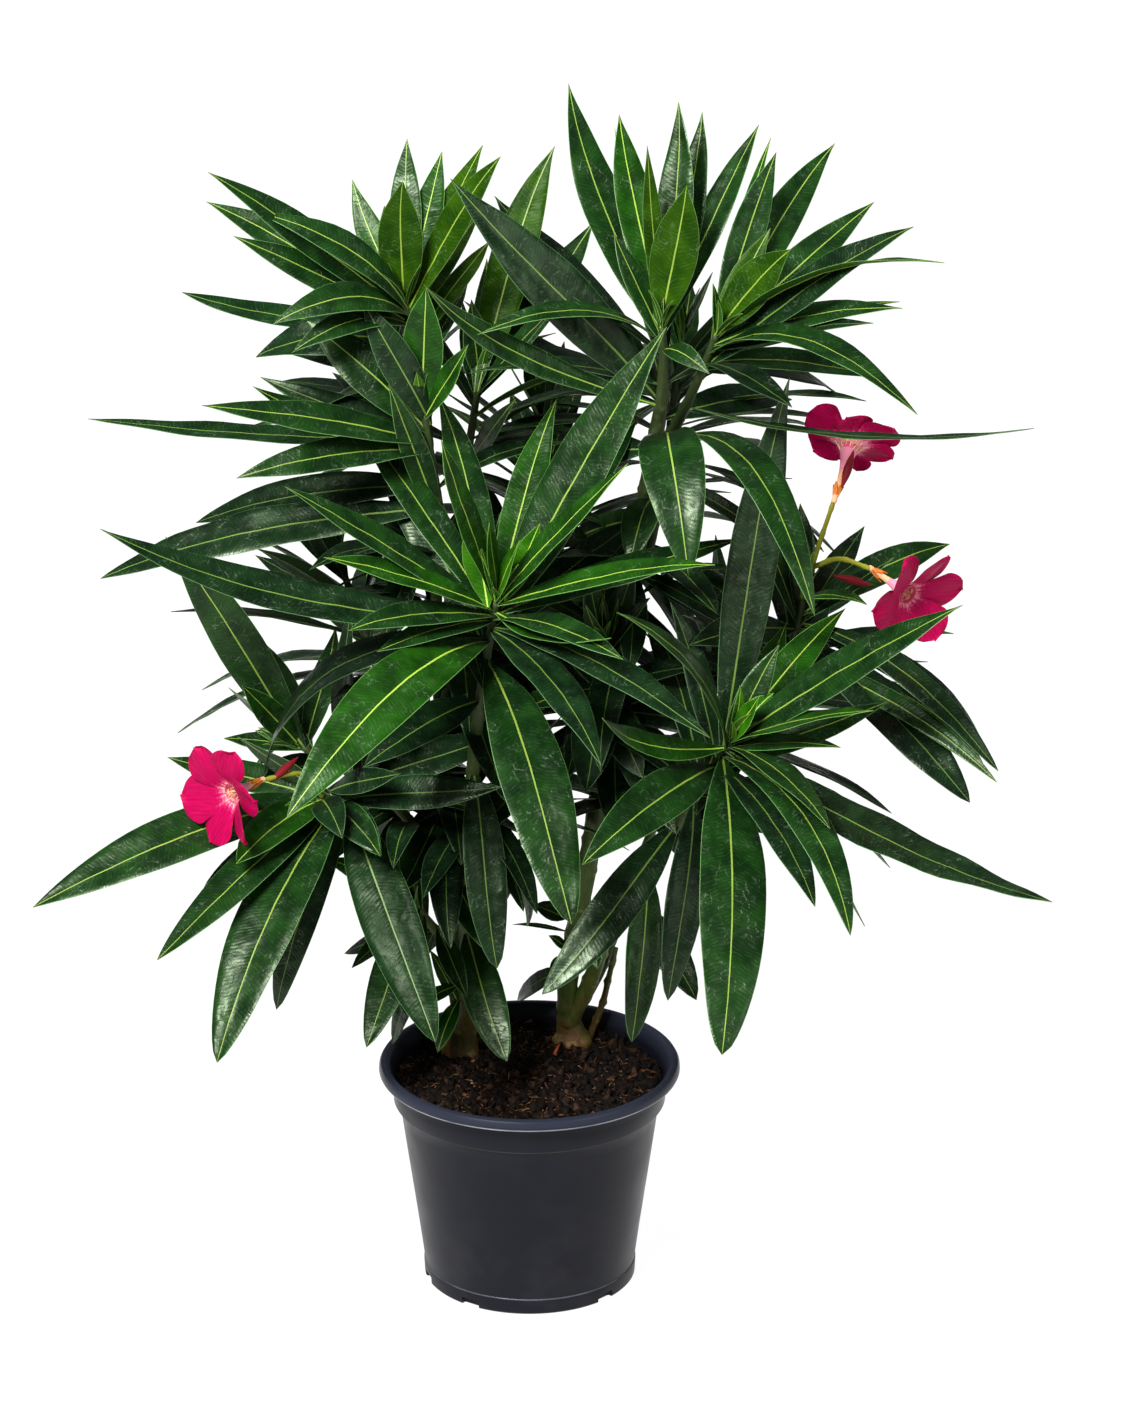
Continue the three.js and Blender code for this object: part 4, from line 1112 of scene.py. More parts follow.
# Knobs at the feet (place and size) and thin old stems beside them (points, radius below and above)
KNOBS = {
    "stem_left": [([-52, 50, 134], 6.5), ([-38, 31, 134], 5.5), ([-50, 36, 132], 6)],
    "stem_right": [([20, 49, 135], 7), ([34, 50, 134], 6.5), ([28, 47, 131], 6), ([24, 55, 146], 5.5)],
}
KNOB_SHAPE = dict(rings=14, sides=16, rough=1.6, end=0.02)
OLD_STEMS = {
    "stem_right": ([[36, 62, 128], [47, 62, 159], [50, 64, 172], [55, 66, 194]], 2.4, 1.6),
    "stem_left": ([[-55, 44, 128], [-49, 46, 156], [-51, 48, 176]], 2.2, 1.4),
}
OLD_STEM_SHAPE = dict(rings=24, sides=12, start=8, space=12, rough=0.2)


def knob(heap, place, size):
    """A rounded lump of old wood."""
    shape = KNOB_SHAPE
    foot, top = Vector(place) - UP * size, Vector(place) + UP * size
    places = even_places([foot, (foot + top) / 2, top], shape["rings"])[0]

    def radius_at(run, share):
        return size * math.sqrt(max(1 - (2 * share - 1) ** 2, shape["end"]))

    stem_skin(heap, places, radius_at, shape["sides"], (), shape["rough"])


def limb_radius(limb, sunk):
    """The taper, with the flare of a trunk's foot, or the collar where a bough leaves its parent."""
    def radius_at(run, share):
        run = max(run - sunk, 0)
        radius = mix(limb["base"], limb["tip"], share)
        if "flare" in limb:
            wrinkle = WRINKLE["deep"] * math.sin(run * WRINKLE["close"]) * math.exp(-run / WRINKLE["fade"])
            return radius + limb["flare"] * math.exp(-run / (limb["flare"] + FLARE_FADE)) + wrinkle
        return radius + COLLAR["rise"] * math.exp(-run / COLLAR["fade"])
    return radius_at


bark_chance = random.Random(5)
for name, limb in LIMBS.items():
    points = [Vector(point) for point in limb["points"]]
    kind = "trunk" if "flare" in limb else "bough"
    sunk = SUNK[kind]
    points[0] = points[0] - (points[1] - points[0]).normalized() * sunk
    places, length = even_places(points, round(even_places(points, 4)[1] / LIMB_STEP))
    rings_at, scars = node_scars(length, LIMB_SCARS["start"], LIMB_SCARS["space"], bark_chance)
    heap = Heap()
    stem_skin(heap, places, limb_radius(limb, sunk), LIMB_SIDES, scars, LIMB_ROUGH[kind], rings_at)
    for place, size in KNOBS.get(name, ()):
        knob(heap, place, size)
    if name in OLD_STEMS:
        points, thick, thin = OLD_STEMS[name]
        shape = OLD_STEM_SHAPE
        places, length = even_places(points, shape["rings"])
        rings_at, scars = node_scars(length, shape["start"], shape["space"], bark_chance)
        stem_skin(heap, places, lambda run, share: mix(thick, thin, share), shape["sides"], scars,
            shape["rough"], rings_at)
    heap.piece(name + "_bark", bark_skins, "bark", [name])

# %% [markdown]
# ## Filling with more leaves
# The solids stop at a few hundred leaves. The real plant also has smaller leaves between the large ones and
# a tuft of narrow young ones in every heart, so the same rule runs once more between its own whorls, and
# then each heart gets its tuft. All of them stay within the reach of the solids.

# %% More leaves by the same rule
HALF_STEP = 0.5
CLOSER_PLACE = 15
TUFT = dict(leaves=5, reach=(20, 42), lean=(6, 30), width=(6, 9), spin=60, turn_step=144, sink=2, arch=1.5)

fill_shoots(room, leaves, number, HALF_STEP, CLOSER_PLACE)
for name, shoot in SHOOTS.items():
    axis = stem_way(shoot, 1)
    for index in range(TUFT["leaves"]):
        spin = next(number) * TUFT["spin"] + index * TUFT["turn_step"]
        leaves[name].append(dict(
            root=stem_place(shoot, 1) - axis * TUFT["sink"], axis=axis, rise=0, down=-5, roll=0,
            direction=leaning(axis, spin, mix(*TUFT["lean"], next(number))), arch=TUFT["arch"],
            reach=mix(*TUFT["reach"], next(number)), width=mix(*TUFT["width"], next(number)),
        ))
print("leaves in all:", sum(len(placed) for placed in leaves.values()))

# %% Leaves on the trunks and between the shoots
# Older leaves that sit straight on a limb: root, turn, rise, reach, arch, width and age
STRAY_LEAVES = [
    [[-122, -33, 339], 17, 13, 126, 6, 30, "old"],
    [[-119, -33, 335], -22, 13, 115, 6, 26, "old"],
    [[-122, -33, 341], -45, 25, 70, 4, 20, "old"],
    [[-127, -35, 336], -75, -4, 55, 8, 22, "old"],
    [[-119, -33, 332], -62, -9, 65, 8, 24, "old"],
    [[-30, -44, 405], -131, -7, 105, 8, 30, "old"],
    [[-48, 36, 311], -110, -19, 95, 8, 30, "grown"],
    [[-51, 36, 261], -68, -25, 72, 8, 22, "grown"],
    [[-40, 26, 223], -70, -37, 96, 6, 26, "grown"],
    [[-58, 35, 222], -70, -25, 62, 5, 15, "grown"],
    [[-70, 28, 238], -109, -31, 110, 8, 26, "grown"],
    [[-45, 34, 172], -111, -31, 42, 4, 12, "fresh"],
    [[-45, 36, 181], -141, -8, 38, 3, 11, "fresh"],
    [[-45, 34, 169], 166, 62, 40, 2, 11, "fresh"],
    [[36, 42, 220], -74, -38, 32, 2, 14, "grown"],
    [[61, 76, 223], -58, -25, 92, 8, 26, "old"],
    [[23, 56, 184], 144, -40, 50, 5, 14, "old"],
    [[24, 50, 212], -155, 17, 40, 2, 4, "old"],
    [[23, 50, 221], -168, 27, 24, 1, 15, "old"],
    [[24, 49, 200], -144, 42, 20, 1, 8, "grown"],
    [[24, 49, 196], -125, -8, 20, 1, 8, "grown"],
    [[46, 4, 392], -98, -24, 86, 8, 30, "old"],
    [[48, 4, 387], -71, -22, 72, 8, 26, "old"],
    [[-63, -10, 569], 145, 4, 125, -12, 22, "old"],
    [[-76, 20, 589], 146, 1, 88, 12, 20, "old"],
    [[-27, -60, 447], 122, 42, 182, 4, 34, "old"],
    [[-24, -78, 478], 150, 80, 60, -3, 24, "young"],
    [[-14, -78, 482], 20, 64, 52, -3, 18, "young"],
    [[-54, 0, 506], -141, 68, 102, 4, 20, "grown"],
    [[-38, 53, 520], -47, 52, 72, 3, 16, "grown"],
    [[-18, -72, 487], 55, 25, 165, 6, 30, "grown"],
    [[19, 88, 457], -44, 26, 110, 8, 22, "grown"],
    [[78, 18, 532], 20, -38, 126, 10, 12, "old"],
    [[164, -3, 436], -137, 8, 92, 6, 28, "old"],
    [[76, 18, 513], -105, -23, 60, 12, 24, "grown"],
    [[162, 0, 418], -41, -15, 165, 16, 15, "grown"],
    [[165, -3, 436], 21, -34, 110, 14, 8, "grown"],
    [[164, 0, 425], 10, -36, 150, 22, 8, "grown"],
    [[112, -25, 629], 68, 47, 138, 3, 11, "fresh"],
    [[110, -22, 622], 53, 35, 110, 6, 10, "fresh"],
    [[112, -25, 626], 27, 4, 128, 8, 8, "grown"],
    [[81, 12, 611], 104, 43, 158, 3, 9, "fresh"],
    [[82, 12, 611], -54, -4, 46, 8, 14, "grown"],
    [[79, 16, 578], -168, 49, 195, 10, 42, "old"],
    [[81, 17, 565], 45, -7, 118, 8, 26, "old"],
    [[78, 18, 545], 132, -22, 95, 10, 26, "old"],
    [[-70, 17, 627], 64, 26, 100, 6, 17, "backlit_olive"],
    [[-69, 18, 612], 62, 23, 104, 6, 17, "backlit_olive"],
    [[-66, 19, 595], 66, 27, 78, 4, 13, "grown"],
    [[-33, 40, 575], 85, 38, 100, 4, 14, "grown"],
    [[-31, 38, 576], 75, 38, 108, 4, 13, "grown"],
    [[77, 0, 580], -156, 32, 178, -17, 20, "grown"],
    [[-59, -8, 570], -176, 63, 90, 10, 26, "old"],
]
STRAY_FACE = heading(-100, 45)
strays = [
    dict(root=Vector(root), direction=heading(turn, rise), reach=reach, arch=arch, width=width, roll=0,
        axis=STRAY_FACE, age=age, rise=rise)
    for root, turn, rise, reach, arch, width, age in STRAY_LEAVES
]
print("leaves placed by hand:", len(strays))

# %% Older leaves on the boughs
BOUGH_LEAVES = dict(within=150, low=290, high=470, space=22, each=3, rise=(-38, 24), reach=(72, 122),
    arch=(4, 14), least=8, slope=0.14, turn_step=60, turn_spread=25)
bough_chance = random.Random(21)


def bough_leaf(root, turn):
    """A leaf that sits on a bough below the crowns, of the old or the dark age, which is partly painted
    shade.
    """
    rise, reach, arch = [bough_chance.uniform(*BOUGH_LEAVES[key]) for key in ("rise", "reach", "arch")]
    return dict(
        root=root, direction=heading(turn, rise), reach=reach, arch=arch, roll=0, axis=UP, rise=rise,
        width=BOUGH_LEAVES["slope"] * reach + BOUGH_LEAVES["least"], age=bough_chance.choice(("dark", "old")),
    )


for limb in LIMBS.values():
    length = even_places(limb["points"], 4)[1]
    places = even_places(limb["points"], max(round(length / BOUGH_LEAVES["space"]), 4))[0]
    first = bough_chance.uniform(0, 360)
    for index, place in enumerate(places[1:]):
        if not BOUGH_LEAVES["low"] < place.z < BOUGH_LEAVES["high"]:
            continue
        for third in range(BOUGH_LEAVES["each"]):
            turn = first + BOUGH_LEAVES["turn_step"] * index + 360 / BOUGH_LEAVES["each"] * third
            turn += bough_chance.uniform(-BOUGH_LEAVES["turn_spread"], BOUGH_LEAVES["turn_spread"])
            leaf = bough_leaf(place, turn)
            if (leaf["root"] + leaf["direction"] * leaf["reach"]).xy.length < BOUGH_LEAVES["within"]:
                strays.append(leaf)
print("leaves on the limbs:", len(strays))

# %% [markdown]
# ## The leaves
# An oleander leaf is a long blade, folded a little along a stout pale midrib, with a fine pale rim and
# hundreds of close side veins. It could be one flat card with a picture on it. Here every leaf is its own
# thin closed shape: rows of points from root to tip, with narrow strips for midrib and rim that carry their
# own colour, so they stay sharp at any distance.

# %% Leaf shape
BLADE_HALF_THICK = 0.22
MIDRIB = dict(root=0.68, tip=0.24, ridge=0.3, keel=1.0, wide_at=34)
RIM = 0.3
ACROSS = (0.34, 0.7)
ROWS = dict(least=8, most=26, every=9)


def leaf_half(share, width, blunt):
    """Half the width at a share of the length: narrow stalk, broad middle, pointed tip."""
    open_part = np.clip(4 * share * (1 - share), 0, 1) ** (0.92 - blunt * share)
    stalk = 0.1 * np.clip(1 - share / 0.12, 0, 1) ** 0.5
    return width / 2 * np.maximum(open_part, stalk) + 0.1


def rows_of(values):
    """One number for each row of a sheet, ready to be used for all its columns."""
    return np.asarray(values)[:, None]


def unit_rows(ways):
    return ways / np.linalg.norm(ways, axis=1)[:, None]


def turned(one, other, angle):
    """Turns two ways at right angles, row by row, by an angle for each row."""
    cos, sin = rows_of(np.cos(angle)), rows_of(np.sin(angle))
    return one * cos + other * sin, other * cos - one * sin


def spread(ways, sizes):
    """Each row's way, as long as each size in that row."""
    return ways[:, None, :] * sizes[:, :, None]


def leaf_places(leaf, style):
    """The upper and lower points of a leaf, row by row, and their places on the leaf in millimetres."""
    rows = int(min(ROWS["most"], max(ROWS["least"], leaf["reach"] / ROWS["every"] + 3)))
    part = np.linspace(0, 1, rows)
    share = 0.6 * part + 0.4 * (1 - np.cos(math.pi * part)) / 2
    half = leaf_half(share, leaf["width"] * style["slender"], style["blunt"])
    rib = mix(MIDRIB["root"], MIDRIB["tip"], share) * (leaf["width"] / MIDRIB["wide_at"]) ** 0.5
    rib = np.minimum(rib, 0.4 * half)
    rim = np.minimum(RIM, 0.3 * half)
    side = [rib / half] + [rib / half + (1 - rim / half - rib / half) * a for a in ACROSS]
    side += [1 - rim / half, np.ones(rows)]
    across = np.stack([-a for a in side[::-1]] + [np.zeros(rows)] + side, axis=1)

    direction, upper = np.array(leaf["direction"]), np.array(upper_way(leaf))
    reach, bow = leaf["reach"], 4 * share * (1 - share)
    line = np.array(leaf["root"]) + np.outer(share * reach, direction) + np.outer(leaf["arch"] * bow, upper)
    line += np.outer(style["sway"] * reach * (bow * share * 1.3), np.cross(direction, upper))
    line[:, 2] += style["sag"] * reach * bow
    along = unit_rows(np.gradient(line, axis=0))
    normal = unit_rows(upper - along * rows_of(along @ upper))
    out, normal = turned(np.cross(along, normal), normal, style["twist"] * (share - 0.25))

    x, y = across * rows_of(half), np.repeat(rows_of(share * reach), across.shape[1], axis=1)
    size = np.abs(across)
    lift = rows_of(half) * (style["fold"] * size ** 1.3 - 0.05 * size ** 4)
    waves = [np.sin(y / long + way * style["phase"]) for long, way in zip(style["waves"], (1, -1))]
    lift += style["wave"] * rows_of(np.minimum(half / 8, 1)) * size ** 2 * np.where(across > 0, *waves)
    middle = line[:, None, :] + spread(out, x)
    for ripple, scale in style["ripples"]:
        pattern = np.array([[noise.noise(Vector((a, b, style["phase"])) / scale) for a, b in zip(ra, rb)]
            for ra, rb in zip(x, y)])
        lift += ripple * pattern * (1 - size ** 6) * rows_of(np.minimum(half / 6, 1))
    middle = middle + spread(normal, lift)
    top, bottom = np.full_like(x, BLADE_HALF_THICK), np.full_like(x, BLADE_HALF_THICK)
    top[:, len(side)] += MIDRIB["ridge"] * rib
    bottom[:, len(side)] += MIDRIB["keel"] * rib
    top[:, [0, -1]] = bottom[:, [0, -1]] = 0
    return middle + spread(normal, top), middle - spread(normal, bottom), x, y + style["offset"]


TOP, UNDER, RIB, EDGE = range(4)


def leaf_kind(row, column, upper):
    """The two narrow strips in the middle are the midrib, and the outermost strips are the rim."""
    last = 2 * len(ACROSS) + 5
    if column in (last // 2, last // 2 + 1):
        return RIB
    return EDGE if column in (0, last) else TOP if upper else UNDER


def sheet_faces(rows, columns, kind_of):
    """Faces over both sides of a thin sheet, which share the points of its two long edges."""
    def upper(row, column):
        return row * columns + column

    def lower(row, column):
        if column in (0, columns - 1):
            return upper(row, column)
        return rows * columns + row * (columns - 2) + column - 1

    faces, kinds = [], []
    for column in range(columns - 1):
        for row in range(rows - 1):
            square = [(row, column), (row + 1, column), (row + 1, column + 1), (row, column + 1)]
            faces.append(tuple(upper(*corner) for corner in square))
            faces.append(tuple(lower(*corner) for corner in square[::-1]))
            kinds += [kind_of(row, column, True), kind_of(row, column, False)]
        for row, way in ((0, 1), (rows - 1, -1)):
            ring = [upper(row, column), upper(row, column + 1), lower(row, column + 1), lower(row, column)]
            faces.append(tuple(dict.fromkeys(ring[::way])))
            kinds.append(kind_of(row, column, False))
    return faces, kinds


def put_sheet(heap, above, below, x, y, kind_of):
    """Adds a sheet from its upper and lower points. Its map is in decimetres."""
    spots = np.stack([x, y], axis=2) / 100
    corners, spots = [[*up.reshape(-1, up.shape[2]), *down[:, 1:-1].reshape(-1, up.shape[2])]
        for up, down in ((above, below), (spots, spots))]
    heap.put(corners, *sheet_faces(*x.shape, kind_of), spots)


# %% [markdown]
# ## Leaf skin
# The upper side is dark and waxed: a broad soft shine with close side veins that run out to the rim, and
# wandering creases in the skin, whose pale tint is a painted glint. The underside is duller and greyer.
# Leaves darken as they age, so they are sorted by age, and each age is a piece with its own base colours. The
# dark age is partly painted shade on low and inner leaves, and the olive age is painted light through the
# leaf.

# %% Leaf materials
VEIN_MM = 2.6
VEIN_SLANT = 0.55
CREASE_MM = 5.5
# Noises on the map, which is in decimetres: how many features lie on one, and the detail
DRIFTS = dict(bend=(9.0, 2.0), fine=(22.0, 4.0), warp=(26.0, 2.0), mask=(6.5, 3.0), parted=(34.0, 1.0),
    dents=(6.0, 2.0), blotch=(5.5, 4.0))


def leaf_skin(name, base, light, rough, veins=1.0, creases=1.0, ior=1.36):
    """A waxed leaf face. The map holds the distance from the midrib and along the leaf, in decimetres."""
    material, tree, shader = new_material(name, base, rough[0], ior)
    place = add(tree, "TexCoord").outputs["UV"]
    drift = {
        key: add(tree, "TexNoise", {"Vector": place, "Scale": scale, "Detail": detail})
        for key, (scale, detail) in DRIFTS.items()
    }
    # Side veins: a sine across slanted lines that wander, broken by fine noise
    parts = add(tree, "SeparateXYZ", {"Vector": place})
    beside = add(tree, "Math", {0: parts.outputs["X"]}, operation="ABSOLUTE")
    slanted = add(tree, "Math", {0: beside, 1: -VEIN_SLANT, 2: parts.outputs["Y"]}, operation="MULTIPLY_ADD")
    bent = add(tree, "Math", {0: drift["bend"], 1: 0.05, 2: slanted}, operation="MULTIPLY_ADD")
    turns = add(tree, "Math", {0: bent, 1: 2 * math.pi * 100 / VEIN_MM}, operation="MULTIPLY")
    wave = add(tree, "Math", {0: turns}, operation="SINE")
    broken = add(tree, "MapRange", {"Value": drift["fine"], "From Min": 0.36, "From Max": 0.62})
    vein = add(tree, "Math", {0: wave, 1: broken}, operation="MULTIPLY")

    # Creases: the edges of warped cells, in patches
    warped = add(tree, "Mix", {0: 0.07, 4: place, 5: drift["warp"].outputs["Color"]}, data_type="VECTOR")
    cells = add(tree, "TexVoronoi", {"Vector": warped, "Scale": 100 / CREASE_MM, "Randomness": 1.0},
        feature="DISTANCE_TO_EDGE", voronoi_dimensions="2D")
    crease = add(tree, "MapRange", {"Value": cells, "From Min": 0.08, "From Max": 0.0})
    here = add(tree, "MapRange", {"Value": drift["mask"], "From Min": 0.5, "From Max": 0.64})
    parted = add(tree, "MapRange", {"Value": drift["parted"], "From Min": 0.42, "From Max": 0.55})
    here = add(tree, "Math", {0: here, 1: parted}, operation="MULTIPLY")
    crease = add(tree, "Math", {0: crease, 1: here}, operation="MULTIPLY")

    share = add(tree, "MapRange", {"Value": drift["blotch"], "From Min": 0.38, "From Max": 0.64})
    tint = add(tree, "Mix", {0: share, 6: linear(base), 7: linear(light)}, data_type="RGBA")
    dark = add(tree, "MapRange", {"Value": vein, "From Min": 0.2, "From Max": -1.0, "To Max": 0.2 * veins})
    pale = add(tree, "MapRange", {"Value": vein, "From Min": 0.3, "From Max": 1.0, "To Max": 0.05 * veins})
    # Painted glints: the creases are tinted pale, as where light catches them
    dry = add(tree, "Math", {0: crease, 1: 0.18 * creases}, operation="MULTIPLY")
    for amount, colour in ((dark, "#030a04"), (pale, "#6f9a58"), (dry, "#8fb08c")):
        tint = add(tree, "Mix", {0: amount, 6: tint, 7: linear(colour)}, data_type="RGBA")

    height = add(tree, "Math", {0: drift["fine"], 1: 0.6}, operation="MULTIPLY")
    for pattern, deep in ((vein, 0.07 * veins), (crease, 0.7 * creases), (drift["dents"], 3.4 * creases)):
        height = add(tree, "Math", {0: pattern, 1: deep, 2: height}, operation="MULTIPLY_ADD")
    wax = add(tree, "MapRange", {"Value": drift["mask"], "From Min": 0.35, "From Max": 0.65,
        "To Min": rough[0], "To Max": rough[1]})
    feed(shader, {"Roughness": wax, "Specular Tint": linear("#dcf0cc")})
    finish_skin(shader, tint, height, 0.7, 0.6 * MM)
    return material


def plain_strip(name, dark, light):
    """The midrib or rim: two close tints mixed along the leaf."""
    material, tree, shader = new_material(name, dark, 0.5)
    place = add(tree, "TexCoord").outputs["UV"]
    mixed = add(tree, "TexNoise", {"Vector": place, "Scale": 5.0, "Detail": 2.0})
    tint = add(tree, "Mix", {0: mixed, 6: linear(dark), 7: linear(light)}, data_type="RGBA")
    feed(shader, {"Base Color": tint})
    return material


# Two tints of the upper side, the underside, two tints of the midrib, the rim, and the IOR of the wax
LEAF_AGES = {
    # dark: older leaves darken, and this darker copy also paints the shade on low and inner leaves
    "dark": ("#06140a", "#0e210f", "#1a2a16", "#3a5022", "#56702c", "#304a28", 1.42),
    "old": ("#08190b", "#112912", "#22361c", "#4c6628", "#6a8632", "#426438", 1.45),
    "dull": ("#0a1e0b", "#132c12", "#22361c", "#4c6628", "#6a8632", "#426438", 1.18),
    "grown": ("#092009", "#14340e", "#28401e", "#668230", "#8aa03e", "#4e763c", 1.42),
    "fresh": ("#0c2a05", "#184307", "#30521a", "#7e9c32", "#9cb446", "#5a863c", 1.33),
    # olive: painted light, a brighter copy for leaves that light shines through from behind
    "backlit_olive": ("#183403", "#2a4a06", "#30480e", "#6a8424", "#88a038", "#48642a", 1.16),
    "young": ("#1a4803", "#306408", "#40681c", "#8cac36", "#acc64e", "#5c8438", 1.2),
}


def leaf_materials(age):
    """The materials of an age, in the order of the kinds of face."""
    base, light, under, rib, pale_rib, rim, ior = LEAF_AGES[age]
    return [
        leaf_skin(age + " leaf top", base, light, (0.26, 0.44), ior=ior),
        leaf_skin(age + " leaf underside", under, under, (0.55, 0.66), 0.8, 0.3, 1.2),
        plain_strip(age + " midrib", rib, pale_rib),
        plain_strip(age + " leaf rim", rim, rim),
    ]


print("ages of leaf:", *LEAF_AGES)


# %% Ages of the leaves
SLIM = 12
BRIGHT_SHOOTS = ("crown_front_centre", "crown_front_right", "crown_left_mid")
# How far below the heart each age ends, in bright shoots and in the others
AGE_ENDS = {True: dict(young=0, fresh=7, grown=24), False: dict(young=0, fresh=2, grown=12)}
# Ages given one leaf at a time; the olive ones are painted light shining through the leaf
KNOWN_AGES = {
    "crown_front_centre": {0: "old", 9: "fresh", 12: "old", 13: "grown", 14: "fresh", 20: "grown"},
    "crown_front_right": {0: "grown", 1: "old", 2: "grown", 8: "grown", 14: "old", 16: "old"},
    "crown_left_low": {4: "dull"},
    "crown_left_mid": {0: "dull", 6: "fresh"},
    "crown_upper_left": {4: "dull", 9: "backlit_olive", 10: "backlit_olive", 11: "backlit_olive"},
    "crown_centre_back": {0: "backlit_olive"},
    "crown_upper_right": {5: "backlit_olive", 6: "backlit_olive"},
    "crown_upper_right_front": {0: "backlit_olive", 4: "fresh", 7: "grown", 10: "grown", 11: "grown", 14: "backlit_olive"},
}
# Tips moved a little, in millimetres, where two leaves would cut through each other or one shines too white
TIP_SHIFTS = {
    ("crown_upper_right", 2): (0, -22, 0),
    ("crown_upper_right_front", 3): (0, 15, -6),
    ("crown_upper_right_front", 4): (0, -18, 7),
}
# Leaves that the photograph shows face on or nearly edge on, and the way their upper face looks
EDGE_FACE = heading(90, 82)
LEAF_FACES = {
    ("crown_upper_left", 11): STRAY_FACE,
    ("crown_upper_right", 6): STRAY_FACE,
    ("crown_upper_right_front", 0): STRAY_FACE,
    ("crown_upper_right_front", 11): STRAY_FACE,
    ("crown_left_mid", 0): EDGE_FACE,
    ("crown_upper_left", 4): EDGE_FACE,
    ("crown_upper_right_front", 4): EDGE_FACE,
}
AGE_DRIFT = 4
LATE_GROWN = 0.22
OLD_SHARE = 0.6
leaf_chance = random.Random(3)


def leaf_age(name, leaf):
    """Leaves in the heart are young, those just below are fresh, and the lowest are old, or dark, which is
    partly painted shade.
    """
    bright = name in BRIGHT_SHOOTS
    ends, down = AGE_ENDS[bright], leaf["down"] + leaf_chance.uniform(-AGE_DRIFT, AGE_DRIFT)
    if down < ends["young"]:
        return "young" if bright else "fresh"
    if down < ends["fresh"]:
        return "fresh"
    if down < ends["grown"] or leaf_chance.random() < LATE_GROWN:
        return "grown"
    return "old" if leaf_chance.random() < OLD_SHARE else "dark"


def leaf_style(leaf):
    """The small differences from leaf to leaf. A leaf that hangs is blunter and broader."""
    chance = leaf_chance.uniform
    slim = leaf["width"] < SLIM
    hang = min(max((20 - leaf["rise"]) / 60, 0), 1)
    return dict(
        blunt=mix(-0.3, 0.26, hang) + chance(-0.06, 0.06), sway=chance(-0.03, 0.03),
        sag=0 if leaf["arch"] else chance(0, 0.035), slender=mix(0.86, 1, hang),
        twist=math.radians(chance(-22, 22)), fold=0.16 * chance(0.6, 1.3),
        wave=0 if slim else chance(0.2, 0.9), waves=(chance(7, 12), chance(7, 12)),
        phase=chance(0, 6), offset=chance(0, 900),
        ripples=() if slim else ((chance(0.5, 0.9), 17), (chance(0.2, 0.4), 8)),
    )


foliage = {age: Heap() for age in LEAF_AGES}


def put_leaf(leaf):
    put_sheet(foliage[leaf["age"]], *leaf_places(leaf, leaf_style(leaf)), leaf_kind)


for name, placed in leaves.items():
    for index, leaf in enumerate(placed):
        # Chance draws an age for every leaf, so that a known age changes no other leaf
        drawn = leaf_age(name, leaf)
        leaf["age"] = KNOWN_AGES.get(name, {}).get(index, drawn)
        leaf["axis"] = LEAF_FACES.get((name, index), leaf["axis"])
        tip = leaf["direction"] * leaf["reach"] + Vector(TIP_SHIFTS.get((name, index), (0, 0, 0)))
        leaf["direction"], leaf["reach"] = tip.normalized(), tip.length
        put_leaf(leaf)
for leaf in strays:
    put_leaf(leaf)
for age, heap in foliage.items():
    smooth_soft_edges(heap.piece("leaves_" + age, leaf_materials(age), "leaves", list(SHOOTS)), 50)

# %% Shoot stems
STEM_SHAPE = dict(sides=12, step=3, least=6, sunk=3, heart=2.1, taper=1.4, first_scar=2, rough=0.2)
shape, twigs = STEM_SHAPE, Heap()
for name, shoot in SHOOTS.items():
    base = LIMBS[shoot["foot"]]["tip"] if isinstance(shoot["foot"], str) else SHOOT_STEM["base"]
    length = stem_length(shoot)
    count = max(shape["least"], round(length / shape["step"]))
    places = [stem_place(shoot, step / count) for step in range(count + 1)]
    places[0] = places[0] - stem_way(shoot, 0) * shape["sunk"]
    rings_at, scars = node_scars(length, shape["first_scar"], WHORL["gap"], bark_chance)
    stem_skin(twigs, places, lambda run, share: mix(base, shape["heart"], share ** shape["taper"]),
        shape["sides"], scars, shape["rough"], rings_at)
twigs.piece("shoot_stems", bark_skins, "bark")

# %% [markdown]
# ## The flowers
# A single oleander flower is a narrow tube that opens to petals, usually five, and six here as in the
# photograph. Each petal is lopsided and overlaps the next like a propeller's blades. The throat is pale with
# a fringed crown round the twisted tip of the stamens, and five small pointed sepals hold the tube on a
# jointed stalk. A card with a picture would be flat from the side, and two of these flowers show their
# sides, so every part is its own thin shape.

# %% Stalks, looks and petals
BLOSSOMS = ("blossom_left", "blossom_right")
# The places of the stalk, the turn and rise of the way that the flower looks, then angles and lengths
FLOWERS = [
    dict(stalk=[[-127, -38, 340], [-137, -52, 360], [-162, -72, 364]], looks=(-138, -6), spin=12, spread=72,
        reach=31, tube=25),
    dict(stalk=[[168, -5, 458], [176, -6, 488], [186, -18, 527]], looks=(72, 34), spin=32, spread=80,
        reach=24, tube=44),
    dict(stalk=[[175, -5, 478], [190, -20, 488], [209, -28, 484]], looks=(-48, -14), spin=0, spread=74,
        reach=33, tube=34),
]
STALK_SHAPE = dict(base=1.7, tip=1.3, sides=10, joints=(0.3, 0.62, 0.9))
TUBE_SIDES = 24
